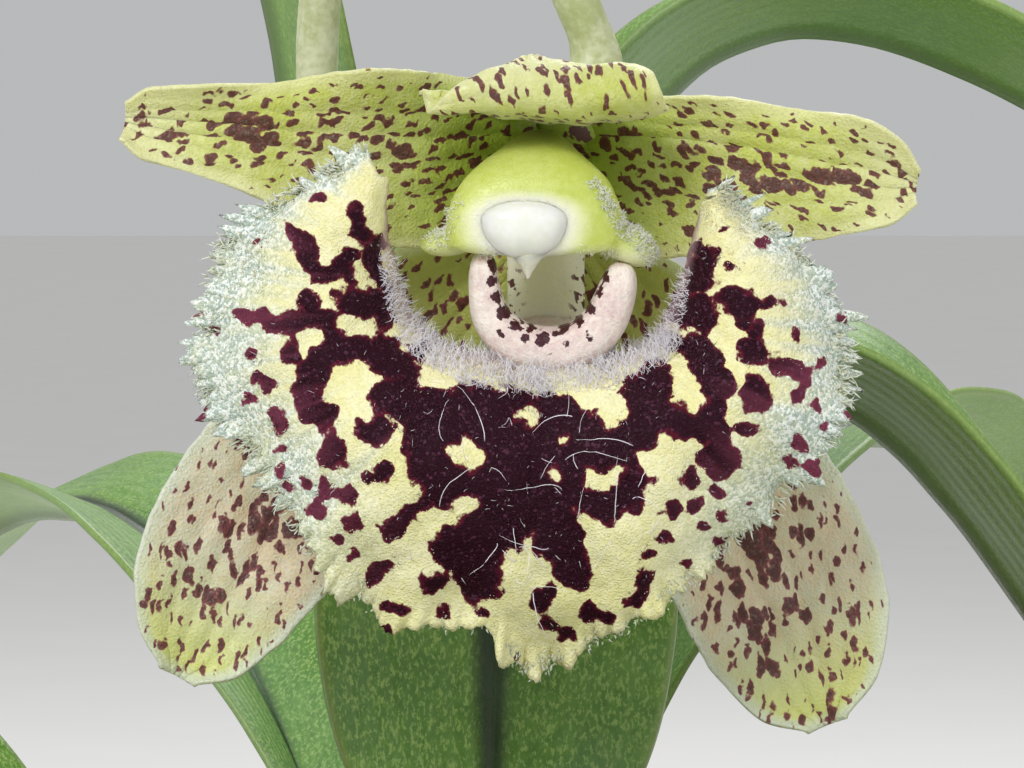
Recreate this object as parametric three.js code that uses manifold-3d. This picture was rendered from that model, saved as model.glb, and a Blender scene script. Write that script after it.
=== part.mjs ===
// A potted Kefersteinia aurorae: a plain clay pot, bark, two leafy shoots and one flower.
// Millimetres, +Z up. The origin is the middle of the pot's foot, and the flower looks along -Y.

import * as THREE from 'three';
import { mergeVertices } from 'three/addons/utils/BufferGeometryUtils.js';
import Module from 'manifold-3d';

const wasm = await Module();
wasm.setup();

// Driving dimensions

const CLEAR = 0.35;
const POT = {
  height: 80, rimRadius: 46, rimHeight: 15, rimStep: 2.6, footRadius: 32, wall: 4, floor: 5,
  drains: 4, drainRadius: 3.5, drainRing: 15, sides: 48,
};
const MIX = { top: 68, chips: 38, chipLength: 13, chipWidth: 7.5, chipHeight: 3.8, sides: 32 };
const FLOWER = new THREE.Vector3(0, -16, 128);
const TISSUE = { petal: 0.7, lip: 0.8, leaf: 0.9, sheath: 1.5 };
const SHEATH = { length: 17, flare: 1.2, rows: 3 };
const STALK = {
  radius: 1.15, ovaryRadius: 1.7, ovaryStart: [0.93, 0.97], buried: 8, sides: 8, steps: 36,
};
const CROWN = { half: 5, height: 3.4, buried: 9, holeTop: 9.4, sides: 14 };

// A root's route is given as distances from the middle of its shoot and heights above the bark.
const ROOT = { radius: 1.15, sides: 7, steps: 6, route: [[3, 1.2], [8, 2.6], [13, 0.8], [16, -6]] };

const COLOURS = {
  clay: 0xb5683f, bark: 0x6b4630, root: 0xb9b596, leaf: 0x4d7a34, stalk: 0xb4b887,
  petal: 0xb9bd5c, sepal: 0xd3d3a0, lip: 0xe0dba0, column: 0xb9cb58, anther: 0xf6f5ea,
};

// Shoots stand at a place in the pot and fan out along one direction.
// A leaf goes out along its azimuth, and rise is its slope in degrees at even steps to the tip.
const SHOOTS = [
  {
    name: 'front', x: -2.5, y: -2, fan: 92, span: 6.6,
    leaves: [
      { azimuth: 92, turn: 8, out: 2.4, length: 50, width: 20.5, rise: [92, 92, 86, 76, 60] },
      { azimuth: 226, turn: -6, out: 2.4, length: 90, width: 16.5, rise: [42, 30, 8, -18, -42, -60] },
      { azimuth: 273, turn: 6, out: 2.4, length: 92, width: 18, rise: [40, 26, 4, -20, -42, -60] },
      { azimuth: 320, turn: 4, out: 2.4, length: 86, width: 16, rise: [42, 30, 6, -20, -44, -60] },
    ],
    roots: [200, 248, 350, 120],
  },
  {
    name: 'back', x: -4, y: 19, fan: 2, span: 8.6,
    leaves: [
      {
        azimuth: 2, turn: -3, out: 3.2, length: 112, width: 19,
        rise: [86, 85, 87, 86, 45, -12, -30, -38, -46, -54],
      },
      {
        azimuth: 0, turn: -6, out: 5.8, length: 100, width: 19,
        rise: [88, 88, 80, 24, -40, -54, -50, -46, -42, -38],
      },
      {
        azimuth: 180, turn: 4, out: 3.2, length: 124, width: 17,
        rise: [85, 84, 84, 84, 78, 66, 36, 0, -24, -44],
      },
      { azimuth: 178, turn: -8, out: 5.8, length: 105, width: 17.5, rise: [48, 38, 14, -12, -36, -54] },
      { azimuth: 116, turn: 8, out: 3.6, length: 98, width: 17, rise: [50, 38, 14, -12, -36, -54] },
      { azimuth: 64, turn: -8, out: 3.6, length: 100, width: 17, rise: [56, 44, 18, -12, -36, -54] },
    ],
    roots: [160, 204, 312, 345],
  },
];

// Flower outlines, from the point where its parts meet: x to the right, z up, y away from the viewer.
const LIP_EDGE = [
  [-8.6, -4.6, 0.5], [-12.0, -3.6, -1.0], [-15.3, -2.8, -3.2], [-16.4, -2.4, -7.0], [-16.6, -2.8, -11.0],
  [-13.5, -4.2, -14.8], [-11.0, -5.0, -18.7], [-7.4, -5.0, -21.9], [-2.9, -4.6, -22.3], [-0.4, -3.6, -24.8],
  [2.6, -4.4, -23.2], [5.9, -5.0, -21.2], [9.6, -4.8, -18.0], [13.2, -4.0, -14.4], [15.1, -3.0, -10.7],
  [14.7, -2.6, -7.4], [12.8, -2.8, -4.2], [10.3, -3.6, -2.2], [8.7, -4.4, -0.8],
];
const LIP_THROAT = [
  [-7.9, -4.2, -0.3], [-7.8, -3.4, -2.6], [-7.5, -2.2, -4.6], [-6.9, -1.4, -6.6], [-6.0, -1.3, -8.0],
  [-4.7, -1.9, -9.0], [-3.1, -2.4, -9.3], [-1.7, -2.6, -9.3], [-0.6, -2.6, -9.3], [0.3, -2.6, -9.3],
  [1.2, -2.6, -9.3], [2.2, -2.6, -9.3], [3.5, -2.4, -9.3], [5.0, -1.9, -9.1], [6.1, -1.3, -8.1],
  [6.8, -1.4, -6.6], [7.4, -2.2, -4.7], [7.9, -3.2, -3.0], [8.1, -4.0, -1.5],
];
const LIP_BULGE = [
  0.5, 1.6, 2.8, 3.6, 3.9, 4.0, 4.0, 3.9, 3.8, 3.8, 3.8, 3.9, 4.0, 4.0, 3.9, 3.6, 2.8, 1.6, 0.5,
];
const LIP_TEETH = { count: 44, depth: 1.1 };
const LIP_STATIONS = [0, 0.12, 0.34, 0.62, 0.93, 1];
const LIP_WAVE = { height: 0.5, turns: 7 };
const CALLUS = {
  route: [
    [-2.75, -2.6, -4.4], [-2.7, -2.6, -6.3], [-2.0, -2.7, -8.0], [0.3, -2.8, -8.65],
    [2.7, -2.7, -8.1], [3.5, -2.6, -6.6], [3.8, -2.5, -5.1],
  ],
  radius: [0.75, 0.8, 1.0, 1.15, 1.15, 1.15, 1.0], depth: 1.7,
};
const COLUMN_FOOT = [[0.2, 4.6, -0.2], [0.3, 3.6, -4.2], [0.35, 2.0, -7.3]];
const CLAW_RADIUS = 0.95;
const LIP_CLAW = [[0.36, 1.75, -7.75], [0.38, 0.2, -8.9], [0.4, -2.2, -8.8]];

const TEPAL = { rows: 11, columns: 6, waves: 15 };

// A tepal has a midrib, and half widths above and below it at even steps from its base.
// cup and wave bend it towards its face, and side says which way round that face lies.
const TEPALS = {
  dorsal_sepal: {
    rib: [
      [0.2, 4.9, 2.9], [0.2, 2.4, 2.9], [0.15, -1.0, 2.7],
      [0.05, -3.4, 3.2], [-0.2, -3.7, 4.5], [-0.5, -2.6, 5.7],
    ],
    above: [1.0, 3.1, 4.9, 6.1, 6.0, 5.2, 2.2], below: [1.0, 3.1, 4.9, 6.1, 6.0, 5.2, 2.2],
    across: [1, 0, -0.07], cup: -0.7, wave: 0, side: 1, colour: 'petal',
  },
  left_petal: {
    rib: [[-2.0, 5.3, 1.4], [-6.0, 2.4, 1.0], [-11.0, 0.8, 1.4], [-16.0, 0.2, 2.0], [-20.7, 0.6, 2.5]],
    above: [0.8, 3.0, 3.9, 3.7, 2.6, 1.9, 1.1], below: [0.9, 3.6, 4.9, 4.6, 3.2, 2.2, 1.2],
    across: [0.02, 0, 1], cup: 0.9, wave: 0.5, side: 1, colour: 'petal',
  },
  right_petal: {
    rib: [[2.4, 5.3, 1.4], [6.2, 2.6, 1.2], [10.6, 0.8, 0.7], [15.0, 0.2, -0.2], [18.8, 0.4, -0.8]],
    above: [0.8, 2.0, 2.4, 2.7, 2.7, 2.9, 1.0], below: [0.9, 4.6, 5.6, 5.2, 4.4, 2.7, 0.9],
    across: [0.06, 0, 1], cup: 0.9, wave: 0.5, side: -1, colour: 'petal',
  },
  left_lateral_sepal: {
    rib: [[-1.7, 4.4, -4.4], [-8.2, 4.6, -11.0], [-14.6, 3.4, -18.6], [-18.4, 2.4, -25.7]],
    above: [0.9, 3.6, 4.4, 5.0, 5.1, 4.5, 1.7], below: [0.9, 3.0, 3.9, 4.5, 4.8, 4.1, 1.7],
    across: [-0.77, 0, 0.64], cup: 0.8, wave: 0.25, side: 1, colour: 'sepal',
  },
  right_lateral_sepal: {
    rib: [[2.2, 4.4, -4.4], [7.0, 4.6, -12.0], [11.6, 3.4, -20.6], [14.6, 2.4, -28.2]],
    above: [0.9, 3.4, 4.4, 5.2, 5.6, 5.0, 1.9], below: [0.9, 3.2, 4.2, 4.7, 4.9, 4.4, 1.9],
    across: [0.87, 0, 0.5], cup: 0.8, wave: 0.25, side: -1, colour: 'sepal',
  },
};

// Column sections from its base to its front: depth, half width, lowest and highest point.
const COLUMN = [
  { y: 5.0, half: 1.5, low: -0.3, high: 2.0 }, { y: 2.6, half: 2.0, low: -1.2, high: 1.9 },
  { y: 0.4, half: 2.9, low: -2.6, high: 1.6 }, { y: -1.8, half: 3.9, low: -3.7, high: 1.2 },
  { y: -3.2, half: 4.4, low: -4.1, high: 0.7 }, { y: -4.2, half: 4.0, low: -4.1, high: 0.0 },
  { y: -4.8, half: 2.9, low: -3.9, high: -0.8 },
];
const COLUMN_MIDDLE = -0.4;
const HOOD = { sides: 18, steps: 8, waist: 0.22, shoulder: 0.22 };
const FOOT = { sides: 12, steps: 6, width: 1.0, depth: 1.7 };
const ANTHER = { at: new THREE.Vector3(-0.75, -4.5, -2.7), size: new THREE.Vector3(2.25, 1.3, 1.4) };
const WINGS = [
  { at: new THREE.Vector3(-4.7, -1.9, -3.4), size: new THREE.Vector3(1.3, 1.5, 0.55), tilt: 12 },
  { at: new THREE.Vector3(4.55, -1.9, -3.3), size: new THREE.Vector3(1.05, 1.5, 1.9), tilt: 38 },
];
const BEAK = { at: [-0.65, -4.2, -4.0], tip: [-0.6, -4.4, -5.5], radius: 0.75, point: 0.12 };

// The stalk rises behind the flower, arches over and comes down to it. Points of the pot's frame.
const STALK_ROUTE = [
  [-8.9, 1, MIX.top - STALK.buried], [-8.6, 3.6, 82], [-8.2, 7, 102], [-11.4, 7.6, 122],
  [-11.6, 6, 138], [-7.5, 0.5, 148], [-2, -5.6, 145], [1.2, -7.4, 138],
  [2.9, -6.8, 133.6], [2.1, -7.6, 131], [0.4, -10.2, 129.1],
];
const BRACT = { starts: [0.13, 0.3, 0.5], reach: 0.055, sides: 8, steps: 3, low: 0.75, high: 0.3 };

// Small helpers

const radians = THREE.MathUtils.degToRad;
const vector = (values) => new THREE.Vector3(...values);
const spline = (points) => new THREE.CatmullRomCurve3(points.map(vector), false, 'catmullrom', 0.5);

let seed = 7;
function random(low, high) {
  seed = (seed * 16807) % 2147483647;
  return low + (high - low) * (seed / 2147483647);
}

// A number that changes smoothly along a piece, given at even steps.
function profile(values) {
  const line = new THREE.SplineCurve(values.map((value, i) => new THREE.Vector2(i, value)));
  return (a) => line.getPoint(a).y;
}

function signedVolume(geometry) {
  const spots = geometry.attributes.position;
  const [a, b, c] = [new THREE.Vector3(), new THREE.Vector3(), new THREE.Vector3()];
  let volume = 0;
  for (let i = 0; i < geometry.index.count; i += 3) {
    a.fromBufferAttribute(spots, geometry.index.getX(i));
    b.fromBufferAttribute(spots, geometry.index.getX(i + 1));
    c.fromBufferAttribute(spots, geometry.index.getX(i + 2));
    volume += a.dot(b.cross(c)) / 6;
  }
  return volume;
}

// Merges shared vertices and turns the faces outwards.
function sealed(geometry) {
  geometry.deleteAttribute('normal');
  geometry.deleteAttribute('uv');
  const merged = mergeVertices(geometry, 1e-4);
  if (signedVolume(merged) < 0) {
    const index = Array.from(merged.index.array);
    for (let i = 0; i < index.length; i += 3) {
      [index[i], index[i + 1]] = [index[i + 1], index[i]];
    }
    merged.setIndex(index);
  }
  merged.computeVertexNormals();
  return merged;
}

function reshape(geometry, place) {
  const spots = geometry.attributes.position;
  for (let i = 0; i < spots.count; i++) {
    const spot = place(new THREE.Vector3().fromBufferAttribute(spots, i));
    spots.setXYZ(i, spot.x, spot.y, spot.z);
  }
  return sealed(geometry);
}

function toSolid(geometry) {
  return new wasm.Manifold(new wasm.Mesh({
    numProp: 3,
    vertProperties: new Float32Array(geometry.attributes.position.array),
    triVerts: new Uint32Array(geometry.index.array),
  }));
}

// The largest body of a solid, so that loose scraps and sealed hollows are dropped.
function toGeometry(solid) {
  const bodies = solid.decompose().sort((one, other) => other.volume() - one.volume());
  const mesh = bodies[0].getMesh();
  const geometry = new THREE.BufferGeometry();
  geometry.setAttribute('position', new THREE.BufferAttribute(mesh.vertProperties, 3));
  geometry.setIndex(new THREE.BufferAttribute(mesh.triVerts, 1));
  geometry.computeVertexNormals();
  return geometry;
}

const fuse = (geometries) => geometries.map(toSolid).reduce((whole, piece) => whole.add(piece));

// A thin blade: point(a, b) is its middle surface, with a from base to tip and b across.
// Both faces are split into triangles alike.
function blade(rows, columns, point, thickness) {
  const grid = [];
  for (let i = 0; i <= rows; i++) {
    grid.push([]);
    for (let j = 0; j <= columns; j++) {
      grid[i].push(point(i / rows, j / columns));
    }
  }
  const normal = (i, j) => {
    const along = grid[Math.min(i + 1, rows)][j].clone().sub(grid[Math.max(i - 1, 0)][j]);
    const across = grid[i][Math.min(j + 1, columns)].clone().sub(grid[i][Math.max(j - 1, 0)]);
    return along.cross(across).normalize();
  };
  const spots = [];
  for (const side of [0.5, -0.5]) {
    for (let i = 0; i <= rows; i++) {
      for (let j = 0; j <= columns; j++) {
        spots.push(...grid[i][j].clone().addScaledVector(normal(i, j), side * thickness).toArray());
      }
    }
  }
  const layer = (rows + 1) * (columns + 1);
  const at = (i, j) => i * (columns + 1) + j;
  const index = [];
  for (let i = 0; i < rows; i++) {
    for (let j = 0; j < columns; j++) {
      const [a, b, c, d] = [at(i, j), at(i + 1, j), at(i + 1, j + 1), at(i, j + 1)];
      index.push(a, b, c, a, c, d);
      index.push(layer + a, layer + c, layer + b, layer + a, layer + d, layer + c);
    }
  }
  const rim = [];
  for (let i = 0; i < rows; i++) rim.push(at(i, 0));
  for (let j = 0; j < columns; j++) rim.push(at(rows, j));
  for (let i = rows; i > 0; i--) rim.push(at(i, columns));
  for (let j = columns; j > 0; j--) rim.push(at(0, j));
  rim.forEach((from, k) => {
    const to = rim[(k + 1) % rim.length];
    index.push(from, layer + from, layer + to, from, layer + to, to);
  });
  const geometry = new THREE.BufferGeometry();
  geometry.setAttribute('position', new THREE.Float32BufferAttribute(spots, 3));
  geometry.setIndex(index);
  return sealed(geometry);
}

// A stem of changing thickness along a curve, with one radius along the frame's normal and one across it.
function limb(curve, sides, steps, wide, deep = wide) {
  const frames = curve.computeFrenetFrames(steps);
  return reshape(new THREE.CylinderGeometry(1, 1, 1, sides, steps), (spot) => {
    const a = THREE.MathUtils.clamp(spot.y + 0.5, 0, 1);
    const k = Math.round(a * steps);
    return curve.getPointAt(a)
      .addScaledVector(frames.normals[k], spot.x * wide(a))
      .addScaledVector(frames.binormals[k], spot.z * deep(a));
  });
}

function ball(at, size, tilt = 0, grow = 0, sides = 16) {
  return reshape(new THREE.SphereGeometry(1, sides, Math.round(sides * 0.6)), (spot) => {
    spot.multiply(size.clone().addScalar(grow));
    return spot.applyAxisAngle(new THREE.Vector3(0, 1, 0), radians(tilt)).add(at);
  });
}

const SHINE = { clay: 0.85, bark: 0.9, root: 0.7, leaf: 0.4, anther: 0.25 };

function piece(name, geometry, colour) {
  const material = new THREE.MeshStandardMaterial({
    color: COLOURS[colour], roughness: SHINE[colour] ?? 0.5, metalness: 0,
  });
  const mesh = new THREE.Mesh(geometry, material);
  mesh.name = name;
  return mesh;
}

// Pot and bark

const taper = (z) => POT.footRadius + (POT.rimRadius - POT.rimStep - POT.footRadius) * (z / POT.height);

function pot() {
  const band = POT.height - POT.rimHeight;
  const outline = [
    [0, 0], [POT.footRadius, 0], [taper(1.5) + 1, 1.5], [taper(band), band], [POT.rimRadius - 0.8, band],
    [POT.rimRadius, band + 1], [POT.rimRadius, POT.height - 1.5], [POT.rimRadius - 1.5, POT.height],
    [taper(POT.height) - POT.wall + 1, POT.height], [taper(POT.height) - POT.wall, POT.height - 1.2],
    [taper(POT.floor) - POT.wall, POT.floor], [0, POT.floor],
  ].map(([radius, z]) => new THREE.Vector2(radius, z));
  const body = toSolid(reshape(new THREE.LatheGeometry(outline, POT.sides), (spot) => (
    new THREE.Vector3(spot.x, -spot.z, spot.y)
  )));
  const drains = Array.from({ length: POT.drains }, (_, i) => {
    const angle = (2 * Math.PI * (i + 0.5)) / POT.drains;
    const drain = new THREE.CylinderGeometry(POT.drainRadius, POT.drainRadius, POT.floor + 4, 16);
    drain.rotateX(Math.PI / 2);
    drain.translate(POT.drainRing * Math.cos(angle), POT.drainRing * Math.sin(angle), POT.floor / 2);
    return sealed(drain);
  });
  return piece('pot', toGeometry(body.subtract(fuse(drains))), 'clay');
}

function barkChip(i) {
  const spread = Math.sqrt((i + 0.5) / MIX.chips) * (taper(MIX.top) - POT.wall - 9);
  const angle = i * radians(137.5);
  const chip = new THREE.BoxGeometry(
    MIX.chipLength * random(0.7, 1.3), MIX.chipWidth * random(0.7, 1.3), MIX.chipHeight * random(0.8, 1.2),
  );
  chip.rotateX(radians(random(-14, 14)));
  chip.rotateY(radians(random(-14, 14)));
  chip.rotateZ(random(0, Math.PI));
  chip.translate(spread * Math.cos(angle), spread * Math.sin(angle), MIX.top + random(-1.2, 0));
  return sealed(chip);
}

// The bark fills the pot, with loose chips raised on its top and plain holes for what stands in it.
function pottingMix(holes) {
  const [low, high] = [POT.floor + CLEAR, MIX.top];
  const inner = (z) => taper(z) - POT.wall - CLEAR - 0.2;
  const fill = new THREE.CylinderGeometry(inner(high), inner(low), high - low, MIX.sides);
  fill.rotateX(Math.PI / 2);
  fill.translate(0, 0, (low + high) / 2);
  const chips = Array.from({ length: MIX.chips }, (_, i) => barkChip(i));
  const whole = fuse([sealed(fill), ...chips]);
  return piece('potting_mix', toGeometry(whole.subtract(fuse(holes))), 'bark');
}

// Leafy shoots

const LEAF_GRID = { rows: 16, columns: 4, walk: 8 };
const LEAF_WIDTH = profile([0.3, 0.5, 0.86, 1.0, 1.0, 0.95, 0.82, 0.56, 0.1]);
const LEAF_FOLD = profile([54, 46, 32, 25, 22, 20, 20, 22, 26]);

// Where a leaf's sheath starts in the crown, and the way that it goes from there.
function leafStart(shoot, leaf) {
  const [azimuth, rise] = [radians(leaf.azimuth), radians(leaf.rise[0])];
  const out = new THREE.Vector3(Math.cos(azimuth), Math.sin(azimuth), 0);
  const direction = out.clone().multiplyScalar(Math.cos(rise)).setZ(Math.sin(rise));
  const start = new THREE.Vector3(shoot.x, shoot.y, MIX.top - 2).addScaledVector(out, leaf.out);
  return { start, direction };
}

// Midrib points of a leaf, walked in short steps along its slope.
function leafPath(shoot, leaf, steps) {
  const { start, direction } = leafStart(shoot, leaf);
  const slope = profile(leaf.rise);
  const spot = start.addScaledVector(direction, SHEATH.length + CLEAR);
  const points = [spot.clone()];
  const strides = steps * LEAF_GRID.walk;
  for (let i = 0; i < strides; i++) {
    const a = (i + 0.5) / strides;
    const [azimuth, rise] = [radians(leaf.azimuth + leaf.turn * a), radians(slope(a))];
    const stride = leaf.length / strides;
    spot.x += Math.cos(azimuth) * Math.cos(rise) * stride;
    spot.y += Math.sin(azimuth) * Math.cos(rise) * stride;
    spot.z += Math.sin(rise) * stride;
    if ((i + 1) % LEAF_GRID.walk === 0) points.push(spot.clone());
  }
  return points;
}

// A folded blade's point: b runs from -1 to 1 across it, with the midrib at 0.
function foldedPoint(middle, azimuth, rise, half, fold, b) {
  const across = new THREE.Vector3(-Math.sin(azimuth), Math.cos(azimuth), 0);
  const up = new THREE.Vector3(Math.cos(azimuth), Math.sin(azimuth), 0)
    .multiplyScalar(-Math.sin(rise)).setZ(Math.cos(rise));
  return middle.clone()
    .addScaledVector(across, b * half * Math.cos(fold))
    .addScaledVector(up, Math.abs(b) * half * Math.sin(fold));
}

function leafBlade(shoot, leaf) {
  const { rows, columns } = LEAF_GRID;
  const path = leafPath(shoot, leaf, rows);
  const slope = profile(leaf.rise);
  return blade(rows, columns, (a, c) => {
    const [azimuth, rise] = [radians(leaf.azimuth + leaf.turn * a), radians(slope(a))];
    const [half, fold] = [(leaf.width / 2) * LEAF_WIDTH(a), radians(LEAF_FOLD(a))];
    return foldedPoint(path[Math.round(a * rows)], azimuth, rise, half, fold, 2 * c - 1);
  }, TISSUE.leaf);
}

function sheath(shoot, leaf, grow) {
  const { start, direction } = leafStart(shoot, leaf);
  const [azimuth, rise, fold] = [leaf.azimuth, leaf.rise[0], LEAF_FOLD(0)].map(radians);
  const top = (leaf.width / 2) * LEAF_WIDTH(0) + grow;
  return blade(SHEATH.rows, LEAF_GRID.columns, (a, c) => {
    const middle = start.clone().addScaledVector(direction, a * SHEATH.length);
    const half = THREE.MathUtils.lerp(top + SHEATH.flare, top, a);
    return foldedPoint(middle, azimuth, rise, half, fold, 2 * c - 1);
  }, TISSUE.sheath + 2 * grow);
}

// The thick base of a shoot. Its hole in the bark is the same shape grown by the clearance and made taller.
function crown(shoot, grow) {
  const low = MIX.top - CROWN.buried - grow;
  const high = MIX.top + (grow ? CROWN.holeTop : CROWN.height);
  return reshape(new THREE.CylinderGeometry(1, 1, 1, CROWN.sides, 1), (spot) => {
    const z = THREE.MathUtils.lerp(low, high, spot.y + 0.5);
    return new THREE.Vector3(spot.x * (shoot.span + grow), spot.z * (CROWN.half + grow), z)
      .applyAxisAngle(new THREE.Vector3(0, 0, 1), radians(shoot.fan))
      .add(new THREE.Vector3(shoot.x, shoot.y, 0));
  });
}

// A root comes out of the crown above the bark, arches and goes down into it.
function root(shoot, angle, grow) {
  const out = new THREE.Vector3(Math.cos(radians(angle)), Math.sin(radians(angle)), 0);
  const points = ROOT.route.map(([distance, height]) => (
    new THREE.Vector3(shoot.x, shoot.y, MIX.top + height - (height < 0 ? 3 * grow : 0))
      .addScaledVector(out, distance).toArray()
  ));
  return limb(spline(points), ROOT.sides, ROOT.steps, () => ROOT.radius + grow);
}

function shootBody(shoot) {
  return toGeometry(fuse([
    crown(shoot, 0),
    ...shoot.leaves.map((leaf) => sheath(shoot, leaf, 0)),
    ...shoot.roots.map((angle) => root(shoot, angle, 0)),
  ]));
}

// Flower stalk with its bracts and ovary

function stalkRadius(a) {
  const ovary = THREE.MathUtils.smoothstep(a, ...STALK.ovaryStart);
  return THREE.MathUtils.lerp(STALK.radius, STALK.ovaryRadius, ovary);
}

function bract(route, start) {
  const points = [0, 0.5, 1].map((a) => route.getPointAt(start + a * BRACT.reach).toArray());
  const radius = (a) => STALK.radius + THREE.MathUtils.lerp(BRACT.low, BRACT.high, a);
  return limb(spline(points), BRACT.sides, BRACT.steps, radius);
}

function stalkBody(route) {
  const stem = limb(route, STALK.sides, STALK.steps, stalkRadius);
  return toGeometry(fuse([stem, ...BRACT.starts.map((start) => bract(route, start))]));
}

// Flower

function tepal(shape) {
  const [rib, above, below] = [spline(shape.rib), profile(shape.above), profile(shape.below)];
  const across = vector(shape.across).normalize();
  return blade(TEPAL.rows, TEPAL.columns, (a, c) => {
    const b = 2 * c - 1;
    const tangent = rib.getTangentAt(a);
    const sideways = across.clone().addScaledVector(tangent, -across.dot(tangent)).normalize();
    const facing = sideways.clone().cross(tangent).multiplyScalar(shape.side);
    const wave = shape.wave * Math.sin(a * TEPAL.waves + b) * Math.abs(b) ** 3;
    return rib.getPointAt(a)
      .addScaledVector(sideways, b * (b > 0 ? above(a) : below(a)))
      .addScaledVector(facing, shape.cup * b * b * Math.min(1, a * 3) + wave);
  }, TISSUE.petal);
}

// The lip's surface: s runs round it from the left peak to the right one, t from throat to margin.
function lipBlade() {
  const [edge, throat, bulge] = [spline(LIP_EDGE), spline(LIP_THROAT), profile(LIP_BULGE)];
  const rows = LIP_TEETH.count * 2;
  const tooth = Array.from({ length: rows + 1 }, (_, i) => (i % 2) * random(0.55, 1) * LIP_TEETH.depth);
  const last = LIP_STATIONS.length - 1;
  return blade(rows, last, (s, c) => {
    const t = LIP_STATIONS[Math.round(c * last)];
    const [inner, outer] = [throat.getPoint(s), edge.getPoint(s)];
    const outward = outer.clone().sub(inner).setY(0).normalize();
    const wave = LIP_WAVE.height * Math.sin(2 * Math.PI * LIP_WAVE.turns * s) * t ** 3;
    const spot = inner.lerp(outer, t);
    spot.y -= bulge(s) * Math.sin(Math.PI * t ** 0.7) + wave;
    return t === 1 ? spot.addScaledVector(outward, tooth[Math.round(s * rows)]) : spot;
  }, TISSUE.lip);
}

function lip() {
  const callus = limb(spline(CALLUS.route), 10, 16, () => CALLUS.depth, profile(CALLUS.radius));
  const claw = limb(spline(LIP_CLAW), 10, 6, () => CLAW_RADIUS);
  return piece('lip', toGeometry(fuse([lipBlade(), callus, claw])), 'lip');
}

// A column section is a bell: round above, nearly straight below, widest low down.
function columnBody() {
  const along = (key) => profile(COLUMN.map((section) => section[key]));
  const [depth, half, low, high] = ['y', 'half', 'low', 'high'].map(along);
  const hood = reshape(new THREE.CylinderGeometry(1, 1, 1, HOOD.sides, HOOD.steps), (spot) => {
    const a = THREE.MathUtils.clamp(spot.y + 0.5, 0, 1);
    const waist = 1 - HOOD.waist * Math.max(0, spot.z) ** 1.5;
    const middle = THREE.MathUtils.lerp(low(a), high(a), HOOD.shoulder);
    const z = spot.z > 0 ? middle + (high(a) - middle) * spot.z : middle + (middle - low(a)) * spot.z;
    return new THREE.Vector3(COLUMN_MIDDLE * a + spot.x * half(a) * waist, depth(a), z);
  });
  const foot = limb(spline(COLUMN_FOOT), FOOT.sides, FOOT.steps, () => FOOT.width, () => FOOT.depth);
  const wings = WINGS.map((wing) => ball(wing.at, wing.size, wing.tilt, 0, 10));
  const beak = limb(new THREE.LineCurve3(vector(BEAK.at), vector(BEAK.tip)), 8, 3, (a) => (
    THREE.MathUtils.lerp(BEAK.radius, BEAK.point, Math.sqrt(a))
  ));
  const seat = toSolid(ball(ANTHER.at, ANTHER.size, 0, CLEAR, 18));
  return toGeometry(fuse([hood, foot, ...wings, beak]).subtract(seat));
}

function flower() {
  const group = new THREE.Group();
  group.position.copy(FLOWER);
  Object.entries(TEPALS).forEach(([name, shape]) => {
    group.add(piece(name, tepal(shape), shape.colour));
  });
  group.add(lip());
  group.add(piece('column', columnBody(), 'column'));
  group.add(piece('anther_cap', ball(ANTHER.at, ANTHER.size), 'anther'));
  return group;
}

// The whole plant in its pot

const plant = new THREE.Group();
const stalkRoute = spline(STALK_ROUTE);
const holes = [
  ...SHOOTS.map((shoot) => crown(shoot, CLEAR)),
  ...SHOOTS.flatMap((shoot) => shoot.leaves.map((leaf) => sheath(shoot, leaf, CLEAR))),
  ...SHOOTS.flatMap((shoot) => shoot.roots.map((angle) => root(shoot, angle, CLEAR + 0.1))),
  limb(stalkRoute, STALK.sides, STALK.steps, () => STALK.radius + CLEAR + 0.1),
];

plant.add(pot());
plant.add(pottingMix(holes));
SHOOTS.forEach((shoot) => {
  plant.add(piece(`${shoot.name}_shoot`, shootBody(shoot), 'root'));
  shoot.leaves.forEach((leaf, i) => {
    plant.add(piece(`${shoot.name}_leaf_${i + 1}`, leafBlade(shoot, leaf), 'leaf'));
  });
});
plant.add(piece('flower_stalk', stalkBody(stalkRoute), 'stalk'));
plant.add(flower());

export default plant;
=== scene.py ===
"""Dresses a potted Kefersteinia aurorae: fine tissue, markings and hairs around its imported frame.

Shapes are worked out in millimetres and placed in metres. +Z is up and the flower looks along -Y.
"""

import math
from collections import namedtuple

import bpy
import numpy as np
from bpy.props import FloatProperty, FloatVectorProperty, IntProperty, PointerProperty
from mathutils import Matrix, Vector, noise


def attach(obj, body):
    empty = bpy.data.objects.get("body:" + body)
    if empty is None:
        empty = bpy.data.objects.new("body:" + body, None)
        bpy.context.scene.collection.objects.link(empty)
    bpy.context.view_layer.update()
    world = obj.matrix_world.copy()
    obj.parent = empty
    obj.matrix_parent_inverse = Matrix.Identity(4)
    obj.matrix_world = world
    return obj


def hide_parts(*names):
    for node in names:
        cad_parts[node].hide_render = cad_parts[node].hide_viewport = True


bl_info = {
    "name": "Potted Orchid",
    "version": (1, 0, 0),
    "blender": (4, 5, 0),
    "location": "View3D > Sidebar > Orchid",
    "description": "Builds a small potted orchid with one spotted, fringed flower",
    "category": "Add Mesh",
}

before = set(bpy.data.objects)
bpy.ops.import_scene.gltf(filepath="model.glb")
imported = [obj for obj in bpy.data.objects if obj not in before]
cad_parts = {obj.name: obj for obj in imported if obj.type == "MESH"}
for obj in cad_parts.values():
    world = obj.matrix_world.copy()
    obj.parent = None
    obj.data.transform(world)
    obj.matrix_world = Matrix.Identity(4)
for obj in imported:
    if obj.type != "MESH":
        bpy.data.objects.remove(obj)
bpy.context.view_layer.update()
MM = 0.001

# Sizes of the plant, in millimetres

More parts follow.
